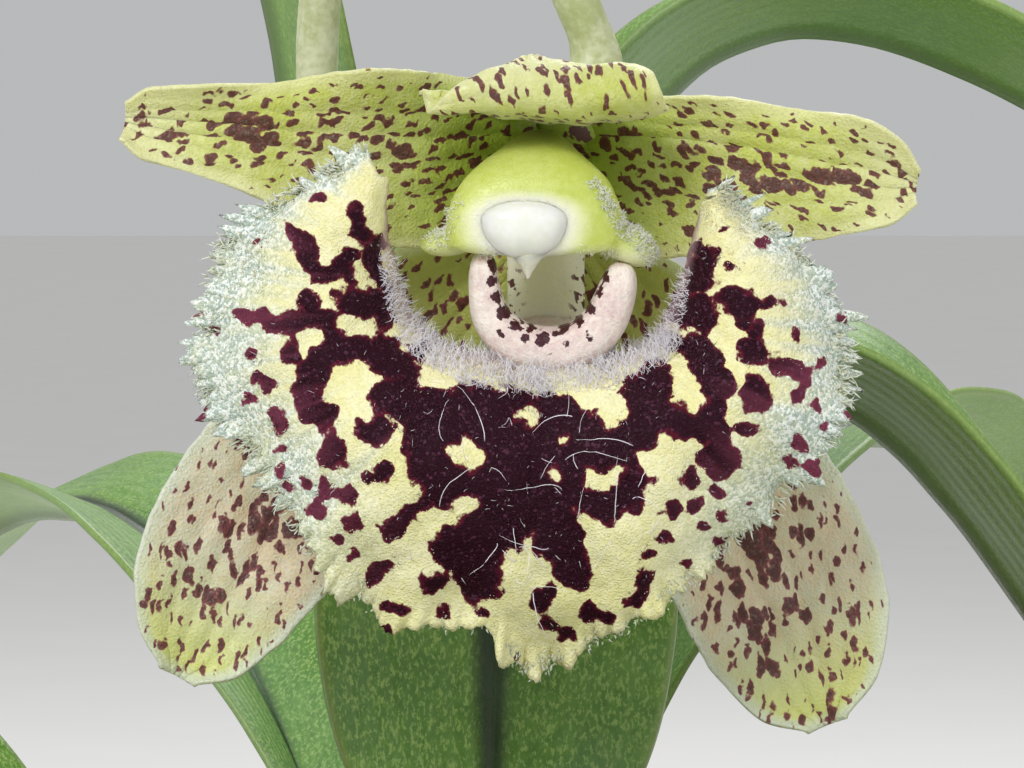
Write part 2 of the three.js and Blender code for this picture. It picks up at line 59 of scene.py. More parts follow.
POT = {
    "height": 80, "rim_radius": 46, "rim_height": 15, "rim_step": 2.6, "foot_radius": 32,
    "wall": 4, "floor": 5, "drains": 4, "drain_radius": 3.5, "drain_ring": 15,
}
MIX = {"top": 68, "bottom": 5.35, "chips": 38, "chip": (13, 7.5, 3.8), "small_chips": 90}
FLOWER = np.array([0.0, -16.0, 128.0])
TISSUE = {"petal": 0.6, "lip": 0.7, "leaf": 0.9, "sheath": 1.4}
SHEATH = {"length": 17, "flare": 1.2}
STALK = {"radius": 1.15, "ovary": 1.7, "throat": 1.0, "ovary_start": (0.93, 0.97)}
CROWN = {"half": 5, "height": 3.4, "buried": 9}
ROOT = {"radius": 1.15, "route": [(3, 1.2), (8, 2.6), (13, 0.8), (16, -6)]}
CLEAR = 0.35

# A leaf starts out of its shoot's middle, goes along its azimuth and turns on its way, in degrees.
# rise is its slope at even steps to the tip.
Leaf = namedtuple("Leaf", "azimuth turn out length width rise")
SHOOTS = {
    "front": {
        "x": -2.5, "y": -2, "fan": 92, "span": 6.6, "roots": [200, 248, 350, 120],
        "leaves": [
            Leaf(92, 8, 2.4, 50, 20.5, [92, 92, 86, 76, 60]),
            Leaf(226, -6, 2.4, 90, 16.5, [42, 30, 8, -18, -42, -60]),
            Leaf(273, 6, 2.4, 92, 18, [40, 26, 4, -20, -42, -60]),
            Leaf(320, 4, 2.4, 86, 16, [42, 30, 6, -20, -44, -60]),
        ],
    },
    "back": {
        "x": -4, "y": 19, "fan": 2, "span": 8.6, "roots": [160, 204, 312, 345],
        "leaves": [
            Leaf(2, -3, 3.2, 112, 19, [86, 85, 87, 86, 45, -12, -30, -38, -46, -54]),
            Leaf(0, -6, 5.8, 100, 19, [88, 88, 80, 24, -40, -54, -50, -46, -42, -38]),
            Leaf(180, 4, 3.2, 124, 17, [85, 84, 84, 84, 78, 66, 36, 0, -24, -44]),
            Leaf(178, -8, 5.8, 105, 17.5, [48, 38, 14, -12, -36, -54]),
            Leaf(116, 8, 3.6, 98, 17, [50, 38, 14, -12, -36, -54]),
            Leaf(64, -8, 3.6, 100, 17, [56, 44, 18, -12, -36, -54]),
        ],
    },
}
LEAF_WIDTH = [0.3, 0.5, 0.86, 1.0, 1.0, 0.95, 0.82, 0.56, 0.1]
LEAF_FOLD = [54, 46, 32, 25, 22, 20, 20, 22, 26]

STALK_ROUTE = [
    (-8.9, 1, 60), (-8.6, 3.6, 82), (-8.2, 7, 102), (-11.4, 7.6, 122), (-11.6, 6, 138),
    (-7.5, 0.5, 148), (-2, -5.6, 145), (1.2, -7.4, 138), (2.9, -6.8, 133.6), (2.1, -7.6, 131),
    (0.4, -10.2, 129.1),
]
# Bracts by where they start along the stalk. Their reach is a share of its length too.
BRACTS = {"starts": [0.13, 0.3, 0.5], "reach": 0.06, "room": 0.16, "flare": 0.75, "thickness": 0.24}

# Flower outlines from the point where its parts meet: x to the right, z up, y away from the viewer.
LIP_EDGE = [
    (-8.4, -4.6, 0.9), (-11.6, -3.8, -0.8), (-15.3, -2.8, -3.2), (-16.4, -2.4, -7.0),
    (-16.6, -2.8, -11.0), (-13.5, -4.2, -14.8), (-11.0, -5.0, -18.7), (-7.4, -5.0, -21.9),
    (-2.9, -4.6, -22.3), (-0.4, -3.6, -24.8), (2.6, -4.4, -23.2), (5.9, -5.0, -21.2),
    (9.6, -4.8, -18.0), (13.2, -4.0, -14.4), (15.1, -3.0, -10.7), (14.7, -2.6, -7.4),
    (12.8, -2.8, -4.2), (10.3, -3.6, -2.2), (8.7, -4.4, -0.8),
]
LIP_THROAT = [
    (-7.9, -4.2, -0.3), (-7.8, -3.4, -2.6), (-7.5, -2.2, -4.6), (-6.9, -1.4, -6.6),
    (-6.0, -1.3, -8.0), (-4.7, -1.9, -9.0), (-3.1, -2.4, -9.3), (-1.7, -2.6, -9.3),
    (-0.6, -2.6, -9.3), (0.3, -2.6, -9.3), (1.2, -2.6, -9.3), (2.2, -2.6, -9.3),
    (3.5, -2.4, -9.3), (5.0, -1.9, -9.1), (6.1, -1.3, -8.1), (6.8, -1.4, -6.6),
    (7.4, -2.2, -4.7), (7.9, -3.2, -3.0), (8.1, -4.0, -1.5),
]
LIP_BULGE = [
    0.5, 1.6, 2.8, 3.6, 3.9, 4.0, 4.0, 3.9, 3.8, 3.8, 3.8, 3.9, 4.0, 4.0, 3.9, 3.6, 2.8, 1.6, 0.5,
]
LIP_WAVE = {"height": 0.5, "turns": 7}
# Teeth of the lip's margin: how many, and their height at its sides and below.
LIP_TEETH = [(27, 0.9, 1.8), (90, 1.3, 0.25), (240, 0.6, 0.2)]
LIP_TEETH_ROOT = -0.35
CALLUS = {
    "route": [
        (-2.85, -2.6, -3.9), (-2.75, -2.6, -5.8), (-2.35, -2.7, -7.3), (-1.2, -2.8, -8.4),
        (0.4, -2.8, -8.8), (1.9, -2.8, -8.5), (3.1, -2.7, -7.5), (3.75, -2.6, -6.0), (4.1, -2.4, -4.5),
    ],
    "half_width": [0.7, 0.78, 0.95, 1.1, 1.15, 1.15, 1.1, 1.0, 0.85],
    "depth": 1.7,
    # Dark marks by their x, z and radius.
    "marks": [
        (-2.3, -4.6, 0.35), (-2.35, -5.3, 0.3), (-2.2, -6.1, 0.35), (-1.85, -6.9, 0.4), (-1.9, -7.9, 0.25),
        (-1.2, -7.5, 0.35), (-0.8, -8.2, 0.3), (-0.5, -7.6, 0.25), (0.1, -8.2, 0.38), (0.7, -7.9, 0.2),
        (1.15, -7.6, 0.35), (1.3, -8.3, 0.25), (1.9, -7.3, 0.3), (2.5, -6.7, 0.32), (2.9, -5.9, 0.3),
        (3.2, -5.1, 0.3), (0.5, -9.0, 0.2), (2.4, -8.1, 0.2),
    ],
}
LIP_CLAW = {"route": [(0.36, 1.75, -7.75), (0.38, 0.2, -8.9), (0.4, -2.2, -8.8)], "wide": 2.3, "deep": 0.95}

# Each tepal has a midrib and half widths above and below it at even steps. bands say where its
# spots are thick: place along, place across, reach along, reach across, strength.
TEPALS = {
    "dorsal_sepal": {
        "rib": [
            (0.2, 4.9, 2.9), (0.2, 2.4, 2.9), (0.15, -1.0, 2.7),
            (0.05, -3.4, 3.2), (-0.2, -3.7, 4.5), (-0.5, -2.6, 5.7),
        ],
        "above": [2.4, 3.4, 4.9, 6.1, 6.0, 5.2, 2.2], "below": [2.4, 3.4, 4.9, 6.1, 6.0, 5.2, 2.2],
        "across": (1, 0, -0.07), "cup": -0.7, "wave": 0.0, "side": 1, "point": 0.75, "slot": "petal",
        "bands": [(0.25, 0, 0.3, 0.9, 1.0), (0.6, 0, 0.25, 0.9, 0.55), (0.95, 0, 0.1, 0.9, 0.5)],
    },
    "left_petal": {
        "rib": [
            (-0.2, 5.7, 1.3), (-2.2, 5.2, 1.3), (-6.0, 2.4, 1.0),
            (-11.0, 0.8, 1.4), (-16.0, 0.2, 2.0), (-20.7, 0.6, 2.5),
        ],
        "above": [1.6, 3.3, 3.9, 3.7, 2.7, 2.1, 1.6], "below": [2.4, 4.4, 5.0, 4.6, 3.2, 2.3, 1.7],
        "across": (0.02, 0, 1), "cup": 0.9, "wave": 0.5, "side": 1, "point": 0.7, "slot": "petal",
        "bands": [
            (0.15, 0.0, 0.25, 1.2, 0.8), (0.42, 0.1, 0.28, 0.7, 0.85),
            (0.7, 0.05, 0.25, 0.5, 1.1), (0.94, -0.35, 0.16, 0.4, 1.0),
        ],
    },
    "right_petal": {
        "rib": [
            (0.7, 5.7, 1.3), (2.6, 5.2, 1.3), (6.2, 2.6, 1.2),
            (10.6, 0.8, 0.7), (15.0, 0.2, -0.2), (18.8, 0.4, -0.8),
        ],
        "above": [1.4, 2.3, 2.4, 2.7, 2.7, 2.9, 1.6], "below": [2.4, 5.0, 5.7, 5.2, 4.4, 3.0, 1.7],
        "across": (0.06, 0, 1), "cup": 0.9, "wave": 0.5, "side": -1, "point": 0.75, "slot": "petal",
        "bands": [
            (0.15, 0.0, 0.25, 1.2, 0.8), (0.5, -0.2, 0.28, 0.45, 1.05),
            (0.8, -0.15, 0.25, 0.42, 1.1), (0.45, 0.3, 0.35, 0.5, 0.6),
        ],
    },
    "left_lateral_sepal": {
        "rib": [(-1.7, 4.4, -4.4), (-8.2, 4.6, -11.0), (-14.6, 3.4, -18.6), (-18.4, 2.4, -25.7)],
        "above": [2.4, 4.4, 4.6, 5.0, 5.1, 4.5, 2.4], "below": [1.6, 3.3, 3.9, 4.5, 4.8, 4.2, 2.5],
        "across": (-0.77, 0, 0.64), "cup": 0.8, "wave": 0.25, "side": 1, "point": 0.85, "slot": "sepal",
        "bands": [
            (0.2, 0, 0.3, 1.0, 0.8), (0.64, -0.1, 0.13, 0.45, 1.35), (0.8, 0.15, 0.2, 0.6, 0.85),
        ],
    },
    "right_lateral_sepal": {
        "rib": [(2.2, 4.4, -4.4), (7.0, 4.6, -12.0), (11.6, 3.4, -20.6), (14.6, 2.4, -28.2)],
        "above": [2.4, 4.4, 4.7, 5.2, 5.6, 5.0, 2.6], "below": [1.6, 3.5, 4.2, 4.7, 4.9, 4.5, 2.6],
        "across": (0.87, 0, 0.5), "cup": 0.8, "wave": 0.25, "side": -1, "point": 0.85, "slot": "sepal",
        "bands": [
            (0.2, 0, 0.3, 1.0, 0.8), (0.56, 0.05, 0.19, 0.24, 1.85), (0.76, -0.4, 0.22, 0.3, 1.15),
            (0.5, 0.5, 0.3, 0.3, 0.8),
        ],
    },
}

# Column sections from its base to its front: depth, half width, lowest and highest point.
COLUMN = [
    (5.0, 1.5, -0.3, 2.0), (2.6, 2.0, -1.2, 1.9), (0.4, 2.9, -2.6, 1.6), (-1.8, 3.9, -3.7, 1.2),
    (-3.2, 4.4, -4.1, 0.7), (-4.2, 4.0, -4.1, 0.0), (-4.8, 2.9, -3.9, -0.8),
]
HOOD = {"middle": -0.4, "shoulder": 0.22, "fullness": 0.85, "crest": 0.8, "flatness": 0.5}
COLUMN_FOOT = {"route": [(0.2, 4.6, -0.2), (0.3, 3.6, -4.2), (0.35, 1.6, -8.2)], "width": 1.0, "depth": 2.0}
ANTHER = {"at": (-0.8, -4.5, -2.35), "size": (2.15, 1.3, 1.0), "drop": 1.9}
WINGS = [
    {"at": (-4.5, -2.1, -3.55), "size": (1.5, 1.5, 0.7), "tilt": -8},
    {"at": (4.3, -2.4, -3.65), "size": (1.6, 1.5, 0.95), "tilt": 27},
]
BEAK = {"at": (-0.62, -4.3, -3.7), "tip": (-0.6, -4.5, -5.5), "radius": 1.1}

# Where the column is frosted with hairs: x and z, reach and how many.
FROST = [
    ((2.6, -0.6), 0.3, 60), ((3.05, -1.1), 0.35, 110), ((3.35, -1.7), 0.38, 150), ((3.7, -2.3), 0.42, 190),
    ((4.15, -2.85), 0.5, 240), ((4.7, -3.3), 0.6, 320), ((5.3, -3.75), 0.6, 300), ((5.6, -4.3), 0.5, 160),
    ((-5.1, -3.3), 0.6, 170), ((-4.6, -2.8), 0.5, 130), ((-4.35, -2.1), 0.35, 60), ((-4.0, -1.5), 0.3, 35),
    ((2.2, -4.1), 0.5, 60), ((3.4, -4.2), 0.5, 60), ((-2.6, -4.1), 0.5, 40),
]

# Markings of the lip: each stroke is a radius and the points that it runs through, as x and z.
LIP_STROKES = [
    (0.45, [(-11.8, -3.2), (-11.35, -4.05), (-10.95, -4.85), (-10.3, -5.0), (-9.7, -4.4), (-9.45, -4.0)]),
    (0.22, [(-9.45, -4.0), (-9.45, -5.6)]),
    (0.3, [(-9.1, -2.05), (-9.0, -2.9)]),
    (0.4, [(-8.4, -3.4), (-8.5, -4.3), (-8.15, -5.1), (-7.75, -6.1)]),
    (0.62, [(-9.6, -6.2), (-8.7, -6.5), (-8.1, -6.9)]),
    (0.4, [(-8.1, -6.9), (-7.85, -7.65)]),
    (0.34, [(-14.5, -6.95), (-13.6, -7.15)]),
    (0.52, [(-12.8, -7.5), (-11.8, -7.2), (-11.2, -7.2), (-11.2, -6.3)]),
    (0.42, [(-11.2, -7.2), (-10.3, -7.1), (-10.1, -8.2)]),
    (0.7, [(-10.3, -8.8), (-9.1, -8.6), (-7.95, -9.0), (-7.0, -9.6)]),
    (0.5, [(-7.0, -9.6), (-6.4, -10.15)]),
    (0.7, [(-10.3, -8.8), (-11.25, -9.95), (-11.35, -10.9), (-11.1, -11.5), (-10.45, -11.9)]),
    (0.8, [(-7.6, -10.9), (-6.7, -11.1), (-6.3, -11.9)]),
    (0.9, [(-6.3, -11.6), (-5.05, -11.6), (-2.7, -11.5), (-0.4, -11.8)]),
    (0.72, [(-0.4, -11.8), (1.3, -11.8), (2.3, -12.5)]),
    (1.2, [(-5.4, -12.9), (-5.3, -14.3), (-4.4, -15.0)]),
    (0.9, [(-4.1, -12.2), (-2.5, -12.6)]),
    (0.8, [(-4.3, -15.0), (-2.8, -15.3)]),
    (1.65, [(-1.8, -12.9), (-1.6, -14.7), (-1.5, -16.2)]),
    (1.3, [(0.4, -13.2), (1.1, -15.1), (0.2, -15.6)]),
    (0.5, [(-5.6, -15.8), (-6.5, -16.4), (-7.35, -17.2)]),
    (1.45, [(-2.2, -17.2), (-3.2, -18.1)]),
    (1.2, [(-3.3, -18.0), (-3.1, -19.6)]),
    (0.8, [(-4.5, -17.8), (-4.4, -18.5)]),
    (0.4, [(-3.15, -19.6), (-3.35, -20.9)]),
    (0.62, [(-5.3, -19.95), (-5.1, -19.8)]),
    (1.3, [(0.5, -16.8), (0.9, -17.6)]),
    (1.0, [(0.9, -17.6), (1.6, -19.4)]),
    (0.52, [(0.1, -20.3), (0.0, -21.0)]),
    (0.4, [(2.3, -21.5), (3.2, -21.75)]),
    (0.42, [(5.0, -19.5), (4.6, -20.8)]),
    (0.4, [(-8.25, -19.65), (-7.25, -19.05)]),
    (0.3, [(-7.75, -21.35), (-7.0, -21.4)]),
    (0.95, [(2.1, -13.4), (3.4, -13.4), (4.65, -12.9)]),
    (0.75, [(1.8, -15.6), (3.1, -16.15), (4.2, -15.6), (4.9, -14.5)]),
    (0.75, [(4.65, -12.6), (5.2, -12.0), (6.6, -12.1), (8.4, -12.5)]),
    (0.95, [(5.0, -10.95), (5.7, -10.55)]),
    (0.6, [(5.7, -10.9), (5.9, -12.0)]),
    (0.85, [(8.5, -13.6), (8.8, -13.9)]),
    (0.55, [(8.5, -12.5), (8.6, -13.6)]),
    (0.85, [(7.95, -8.9), (8.6, -10.4)]),
    (0.5, [(8.6, -10.4), (8.3, -11.9)]),
    (0.95, [(7.5, -6.9), (7.9, -6.9)]),
    (0.55, [(8.25, -4.1), (7.95, -5.6)]),
    (0.75, [(9.5, -6.4), (9.9, -6.7)]),
    (0.25, [(9.9, -6.5), (11.1, -6.3)]),
    (0.3, [(10.5, -7.4), (10.4, -8.0)]),
    (0.66, [(10.2, -8.5), (10.3, -8.8)]),
    (0.3, [(11.2, -9.35), (12.1, -9.6)]),
    (0.4, [(12.1, -9.6), (12.6, -10.1)]),
    (0.24, [(12.6, -10.1), (12.3, -11.0)]),
    (0.7, [(10.2, -10.7), (10.6, -11.0)]),
]
LIP_SPOTS = [
    (0.72, [(-8.4, -12.6), (-7.9, -12.6), (-10.1, -13.6), (-10.0, -13.4)]),
    (0.52, [(-12.2, -8.8), (-12.7, -12.1), (-10.85, -16.4), (-10.5, -15.4), (-9.5, -15.6), (7.2, -14.6)]),
    (0.44, [
        (-13.2, -10.35), (-7.6, -14.5), (-6.0, -9.0), (-9.05, -16.8), (1.15, -22.8), (6.8, -8.6),
        (10.0, -12.4), (6.3, -16.3), (13.35, -14.45), (0.4, -22.0),
    ]),
    (0.34, [
        (-13.95, -9.0), (-12.6, -14.8), (-9.85, -17.85), (-4.7, -21.55), (5.25, -18.4), (5.9, -17.7),
        (7.35, -16.05), (8.4, -15.5), (12.55, -13.25), (-11.25, -15.2), (-11.7, -18.4),
    ]),
    (0.25, [
        (-13.85, -9.95), (-12.4, -15.4), (-8.2, -14.6), (-9.25, -18.6), (-14.4, -16.05), (-7.45, -22.5),
        (-2.6, -21.55), (-12.6, -13.6), (-14.8, -13.4), (-13.75, -3.6), (-16.8, -7.0), (-16.0, -7.8),
        (-16.7, -11.9), (-12.0, -1.2), (-10.7, -1.4), (9.5, -4.65), (10.65, -3.6), (12.3, -7.95),
        (13.5, -9.5), (13.45, -11.5), (13.85, -12.45), (12.25, -14.1), (14.9, -7.15), (15.3, -11.9),
        (8.85, -16.6), (7.8, -17.2), (8.6, -18.1), (7.05, -19.1), (10.25, -16.3), (8.9, -2.8),
        (5.6, -22.6), (4.2, -23.8), (-1.35, -23.7), (-11.4, -19.5), (-14.2, -11.0),
    ]),
]
# Cream islands left open in the markings, given as the strokes are.
LIP_ISLANDS = [
    (0.5, [(-3.9, -13.4), (-3.3, -13.8)]),
    (0.3, [(-0.8, -11.9), (-0.6, -12.0)]),
    (0.5, [(3.0, -14.8), (3.0, -14.95)]),
    (0.22, [(0.95, -12.9), (1.0, -13.2)]),
    (0.22, [(0.8, -14.5), (0.9, -14.6)]),
    (0.34, [(-3.4, -15.8), (-5.2, -17.1)]),
    (0.42, [(7.1, -10.6), (7.3, -10.75)]),
    (0.3, [(7.4, -13.1), (7.55, -13.2)]),
    (0.4, [(-1.45, -18.5), (-0.1, -19.9)]),
    (0.7, [(5.2, -14.0), (5.7, -13.9)]),
    (0.4, [(-8.9, -7.6), (-8.3, -7.9)]),
]

# Width over which a marking sets in.
MARKING_EDGE = 1.6

# Hairs of the lip. Each kind has ranges round the lip from its left to its right peak, out to its
# margin, and of length, where None is the longest that the settings give. The radius may be None
# too, for the settings' own. A tone of 0 is maroon, and such hairs grow only on the markings.
HAIRS = {
    "wool": {
        "count": 2000, "round": (0.22, 0.78), "out": (0.0, 0.13), "length": (0.5, 1.3),
        "curl": 1.1, "tone": 1.0, "steps": 4, "radius": None,
    },
    "left_wool": {
        "count": 550, "round": (0.1, 0.28), "out": (0.0, 0.1), "length": (0.3, 0.9),
        "curl": 1.1, "tone": 1.0, "steps": 4, "radius": None,
    },
    "right_wool": {
        "count": 420, "round": (0.72, 0.88), "out": (0.0, 0.1), "length": (0.3, 0.8),
        "curl": 1.1, "tone": 1.0, "steps": 4, "radius": None,
    },
    "curls": {
        "count": 34, "round": (0.36, 0.64), "out": (0.2, 0.75), "length": (1.6, None),
        "curl": 4.5, "tone": 1.0, "steps": 14, "radius": None,
    },
    "velvet": {
        "count": 3600, "round": (0.08, 0.92), "out": (0.05, 0.85), "length": (0.2, 0.5),
        "curl": 0.6, "tone": 0.0, "steps": 2, "radius": 0.022,
    },
}
# A share of the maroon hairs sparkles.
SPARKLE = {"share": 0.13, "tone": 0.7}

# Tufts of moss, each at its angle in degrees and distance from the pot's axis.
MOSS = {"tufts": [(35, 33), (150, 31), (262, 34), (205, 24), (318, 30)], "leaves": 300, "spread": 1.7}

# Lamps, with their place from the camera's target and size in metres and their power in watts.
LAMPS = {
    "key": {"offset": (-0.3, -0.46, 0.46), "size": 0.3, "power": 3.0},
    "fill": {"offset": (0.5, -0.42, 0.16), "size": 0.5, "power": 0.8},
    "rim": {"offset": (0.12, 0.5, 0.5), "size": 0.4, "power": 2.4},
}
CAMERA = {"target": (-1.4, -16.0, 117.3), "distance": 260.0, "rise": 4.0, "width": 51.2, "sensor": 36.0}


def tint(red, green, blue):
    """A colour read on the usual 0 to 255 scale, as the linear values that shaders use."""
    parts = np.array([red, green, blue]) / 255
    return tuple(np.where(parts <= 0.04045, parts / 12.92, ((parts + 0.055) / 1.055) ** 2.4))


# Curves and fields


def catmull(points, t, clamp=False):
    """Points of a smooth curve through points, with t from 0 to 1 over them."""
    knots = np.asarray(points, float)
    before = knots[0] if clamp else 2 * knots[0] - knots[1]
    after = knots[-1] if clamp else 2 * knots[-1] - knots[-2]
    knots = np.concatenate([[before], knots, [after]])
    place = np.clip(t, 0, 1) * (len(knots) - 3)
    index = np.minimum(place.astype(int), len(knots) - 4)
    w = place - index
    if knots.ndim > 1:
        w = w[..., None]
    p0, p1, p2, p3 = (knots[index + i] for i in range(4))
    v1, v2 = (p2 - p0) / 2, (p3 - p1) / 2
    return (2 * p1 - 2 * p2 + v1 + v2) * w**3 + (3 * p2 - 3 * p1 - 2 * v1 - v2) * w**2 + v1 * w + p1


def profile(values, a):
    """A value given at even steps, at shares a of the way."""
    return catmull(values, np.asarray(a, float), clamp=True)


def even(points, a):
    """The curve's own parameter at a share a of its length."""
    u = np.linspace(0, 1, 401)
    steps = np.linalg.norm(np.diff(catmull(points, u), axis=0), axis=1)
    length = np.concatenate([[0], np.cumsum(steps)])
    return np.interp(a, length / length[-1], u)


def unit(vectors):
    """Vectors brought to a length of 1."""
    return vectors / np.maximum(np.linalg.norm(vectors, axis=-1, keepdims=True), 1e-12)


def along(points, a):
    """Places and directions on a curve at shares a of its length."""
    a = np.asarray(a, float)
    here = catmull(points, even(points, a))
    ahead = catmull(points, even(points, np.minimum(a + 1e-3, 1)))
    behind = catmull(points, even(points, np.maximum(a - 1e-3, 0)))
    return here, unit(ahead - behind)


def smooth(low, high, x):
    """Goes smoothly from 0 to 1 as x goes from low to high."""
    w = np.clip((x - low) / (high - low), 0, 1)
    return w * w * (3 - 2 * w)


def rough(points, size, seed=0.0):
    """Smooth noise from -1 to 1 at each point, with features of the given size in millimetres."""
    flat = np.asarray(points, float).reshape(-1, 3) / size + seed
    return np.array([noise.noise(p) for p in flat.tolist()]).reshape(np.shape(points)[:-1])


def hum(a, rate, seed=0.0):
    """Smooth noise along a line."""
    flat = np.ravel(a)
    return np.array([noise.noise((x * rate, seed, 0.5)) for x in flat.tolist()]).reshape(np.shape(a))


def teeth(s, count, seed):
    """A torn margin: one tooth of its own height in each of count steps along it."""
    step = s * count + 0.35 * hum(s, count / 3, seed)
    index = np.floor(step).astype(int)
    heights = np.random.default_rng(seed).uniform(0, 1, count + 3)
    return heights[index + 1] * (1 - np.abs(2 * (step - index) - 1)) ** 1.25


# Mesh tools


def primitive(add, name, **size):
    """Adds a plain shape by its operator, with nothing else selected."""
    bpy.ops.object.select_all(action="DESELECT")
    add(**size)
    piece = bpy.context.object
    piece.name = piece.data.name = name
    return piece


def pick(piece):
    """Selects one piece alone."""
    bpy.ops.object.select_all(action="DESELECT")
    piece.select_set(True)
    bpy.context.view_layer.objects.active = piece
    return piece


def spots_of(piece):
    """Places of a piece's vertices in millimetres."""
    spots = np.zeros(len(piece.data.vertices) * 3)
    piece.data.vertices.foreach_get("co", spots)
    return spots.reshape(-1, 3) / MM


def place(piece, points):
    """Puts a piece's vertices at points in millimetres."""
    piece.data.vertices.foreach_set("co", (np.asarray(points, float) * MM).ravel())
    piece.data.update()
    return piece


def field(piece, name, values):
    """Keeps a value, or a vector, for each vertex, which the finishes read."""
    values = np.asarray(values, np.float32)
    vector = values.size == 3 * len(piece.data.vertices)
    kept = piece.data.attributes.new(name, "FLOAT_VECTOR" if vector else "FLOAT", "POINT")
    kept.data.foreach_set("vector" if vector else "value", values.ravel())


def apply(piece, kind, **settings):
    """Gives a piece a modifier and applies it."""
    pick(piece)
    modifier = piece.modifiers.new(kind.title(), kind)
    for key, value in settings.items():
        setattr(modifier, key, value)
    bpy.ops.object.modifier_apply(modifier=modifier.name)
    return piece


def seal(piece, gap=0.002):
    """Merges a rolled grid's seam and poles, and turns its faces outwards."""
    pick(piece)
    bpy.ops.object.mode_set(mode="EDIT")
    bpy.ops.mesh.select_all(action="SELECT")
    bpy.ops.mesh.remove_doubles(threshold=gap * MM)
    bpy.ops.mesh.normals_make_consistent(inside=False)
    bpy.ops.object.mode_set(mode="OBJECT")
    return piece


def join(pieces, name):
    """Makes one named piece of several."""
    bpy.ops.object.select_all(action="DESELECT")
    for piece in pieces:
        piece.select_set(True)
    bpy.context.view_layer.objects.active = pieces[0]
    if len(pieces) > 1:
        bpy.ops.object.join()
    pieces[0].name = pieces[0].data.name = name
    return pieces[0]


def grid(name, points):
    """A grid primitive with its vertices placed as points, rows by columns."""
    rows, columns = points.shape[0] - 1, points.shape[1] - 1
    piece = primitive(
        bpy.ops.mesh.primitive_grid_add, name, x_subdivisions=columns, y_subdivisions=rows, size=1,
    )
    return place(piece, points)


def blade(name, points, facing, thickness, fields, taper=1.0, keel=0.0):
    """A thin leaf or petal: its middle surface, given its wall, thinned by taper and keeled behind."""
    piece = grid(name, points)
    for label, values in fields.items():
        field(piece, label, values)
    apply(piece, "SOLIDIFY", thickness=thickness * MM, offset=0)
    middle = np.tile(points.reshape(-1, 3), (2, 1))
    front = np.tile(np.broadcast_to(facing, points.shape).reshape(-1, 3), (2, 1))
    away = spots_of(piece) - middle
    side = np.sum(away * front, axis=1) > 0
    away *= np.tile(np.broadcast_to(taper, points.shape[:2]).ravel(), 2)[:, None]
    depth = np.tile(np.broadcast_to(keel, points.shape[:2]).ravel(), 2) * ~side
    place(piece, middle + away - front * depth[:, None])
    field(piece, "front", side)
    return piece


def turns_along(tangents):
    """Two directions across a curve, carried along it without twisting."""
    normals = [unit(np.cross(tangents[0], (0.3, 0.9, 0.1)))]
    for tangent in tangents[1:]:
        normals.append(unit(normals[-1] - tangent * np.dot(normals[-1], tangent)))
    normals = np.array(normals)
    return normals, np.cross(tangents, normals)


def tube(name, centres, tangents, wide, deep, sides, normals=None, fields=True, square=1.0):
    """A closed stem rolled from a grid. wide and deep are its radii along and across its normals."""
    if normals is None:
        normals, binormals = turns_along(tangents)
    else:
        binormals = np.cross(tangents, normals)
    angle = np.linspace(0, 2 * np.pi, sides + 1)
    wide, deep = np.broadcast_to(wide, len(centres)), np.broadcast_to(deep, len(centres))
    over, out = (np.sign(part) * np.abs(part) ** square for part in (np.cos(angle), np.sin(angle)))
    ring = over[None, :, None] * (normals * wide[:, None])[:, None]
    ring = ring + out[None, :, None] * (binormals * deep[:, None])[:, None]
    points = centres[:, None] + ring
    piece = grid(name, points)
    if fields:
        share = np.linspace(0, 1, len(centres))
        field(piece, "along", np.broadcast_to(share[:, None], points.shape[:2]))
        field(piece, "around", np.broadcast_to(np.cos(angle)[None], points.shape[:2]))
    return seal(piece)


def revolve(name, outline, sides):
    """A turned body from its outline of radius and height, starting and ending on the axis."""
    outline = np.asarray(outline, float)
    angle = np.linspace(0, 2 * np.pi, sides + 1)
    points = np.stack([
        outline[:, :1] * np.cos(angle), outline[:, :1] * np.sin(angle),
        np.broadcast_to(outline[:, 1:], (len(outline), sides + 1)),
    ], axis=-1)
    return seal(grid(name, points))


def strand_faces(steps, sides):
    """Faces of one hair: a closed root, its wall and its pointed tip."""
    faces = [tuple(range(sides - 1, -1, -1))]
    for k in range(steps - 1):
        for i in range(sides):
            low, high, turn = k * sides, (k + 1) * sides, (i + 1) % sides
            faces.append((low + i, low + turn, high + turn, high + i))
    last = (steps - 1) * sides
    faces += [(last + i, last + (i + 1) % sides, steps * sides) for i in range(sides)]
    return faces


def strands(name, roots, ways, lengths, radius, curl, seed, steps=5, sides=3, fields=None):
    """Hairs as thin tapering tubes. Each starts along its way and bends by its curl."""
    draw = np.random.default_rng(seed)
    count = len(roots)
    lengths, radius = np.broadcast_to(lengths, count), np.broadcast_to(radius, count)
    way = unit(np.asarray(ways, float) + draw.normal(0, 0.12, (count, 3)))
    swing_way = unit(np.cross(way, unit(draw.normal(0, 1, (count, 3)))))
    spot = np.asarray(roots, float) - way * 0.05
    rings = []
    for k in range(steps):
        out = unit(np.cross(way, swing_way + 1e-4))
        over = np.cross(way, out)
        thin = radius * (1 - 0.75 * (k / steps) ** 1.5)
        for i in range(sides):
            angle = 2 * np.pi * i / sides
            rings.append(spot + thin[:, None] * (np.cos(angle) * out + np.sin(angle) * over))
        spot = spot + way * (lengths / steps)[:, None]
        way = unit(way + swing_way * curl / steps + draw.normal(0, curl / steps / 2, (count, 3)))
    rings.append(spot)
    vertices = np.stack(rings, axis=1)
    each = vertices.shape[1]
    one = strand_faces(steps, sides)
    faces = [tuple(n * each + v for v in face) for n in range(count) for face in one]
    piece = mesh_piece(name, vertices.reshape(-1, 3), faces)
    for label, values in (fields or {}).items():
        field(piece, label, np.repeat(np.asarray(values, float), each))
    rise = np.append(np.repeat(np.arange(steps), sides), steps) / steps
    field(piece, "along", np.tile(rise, count))
    return piece


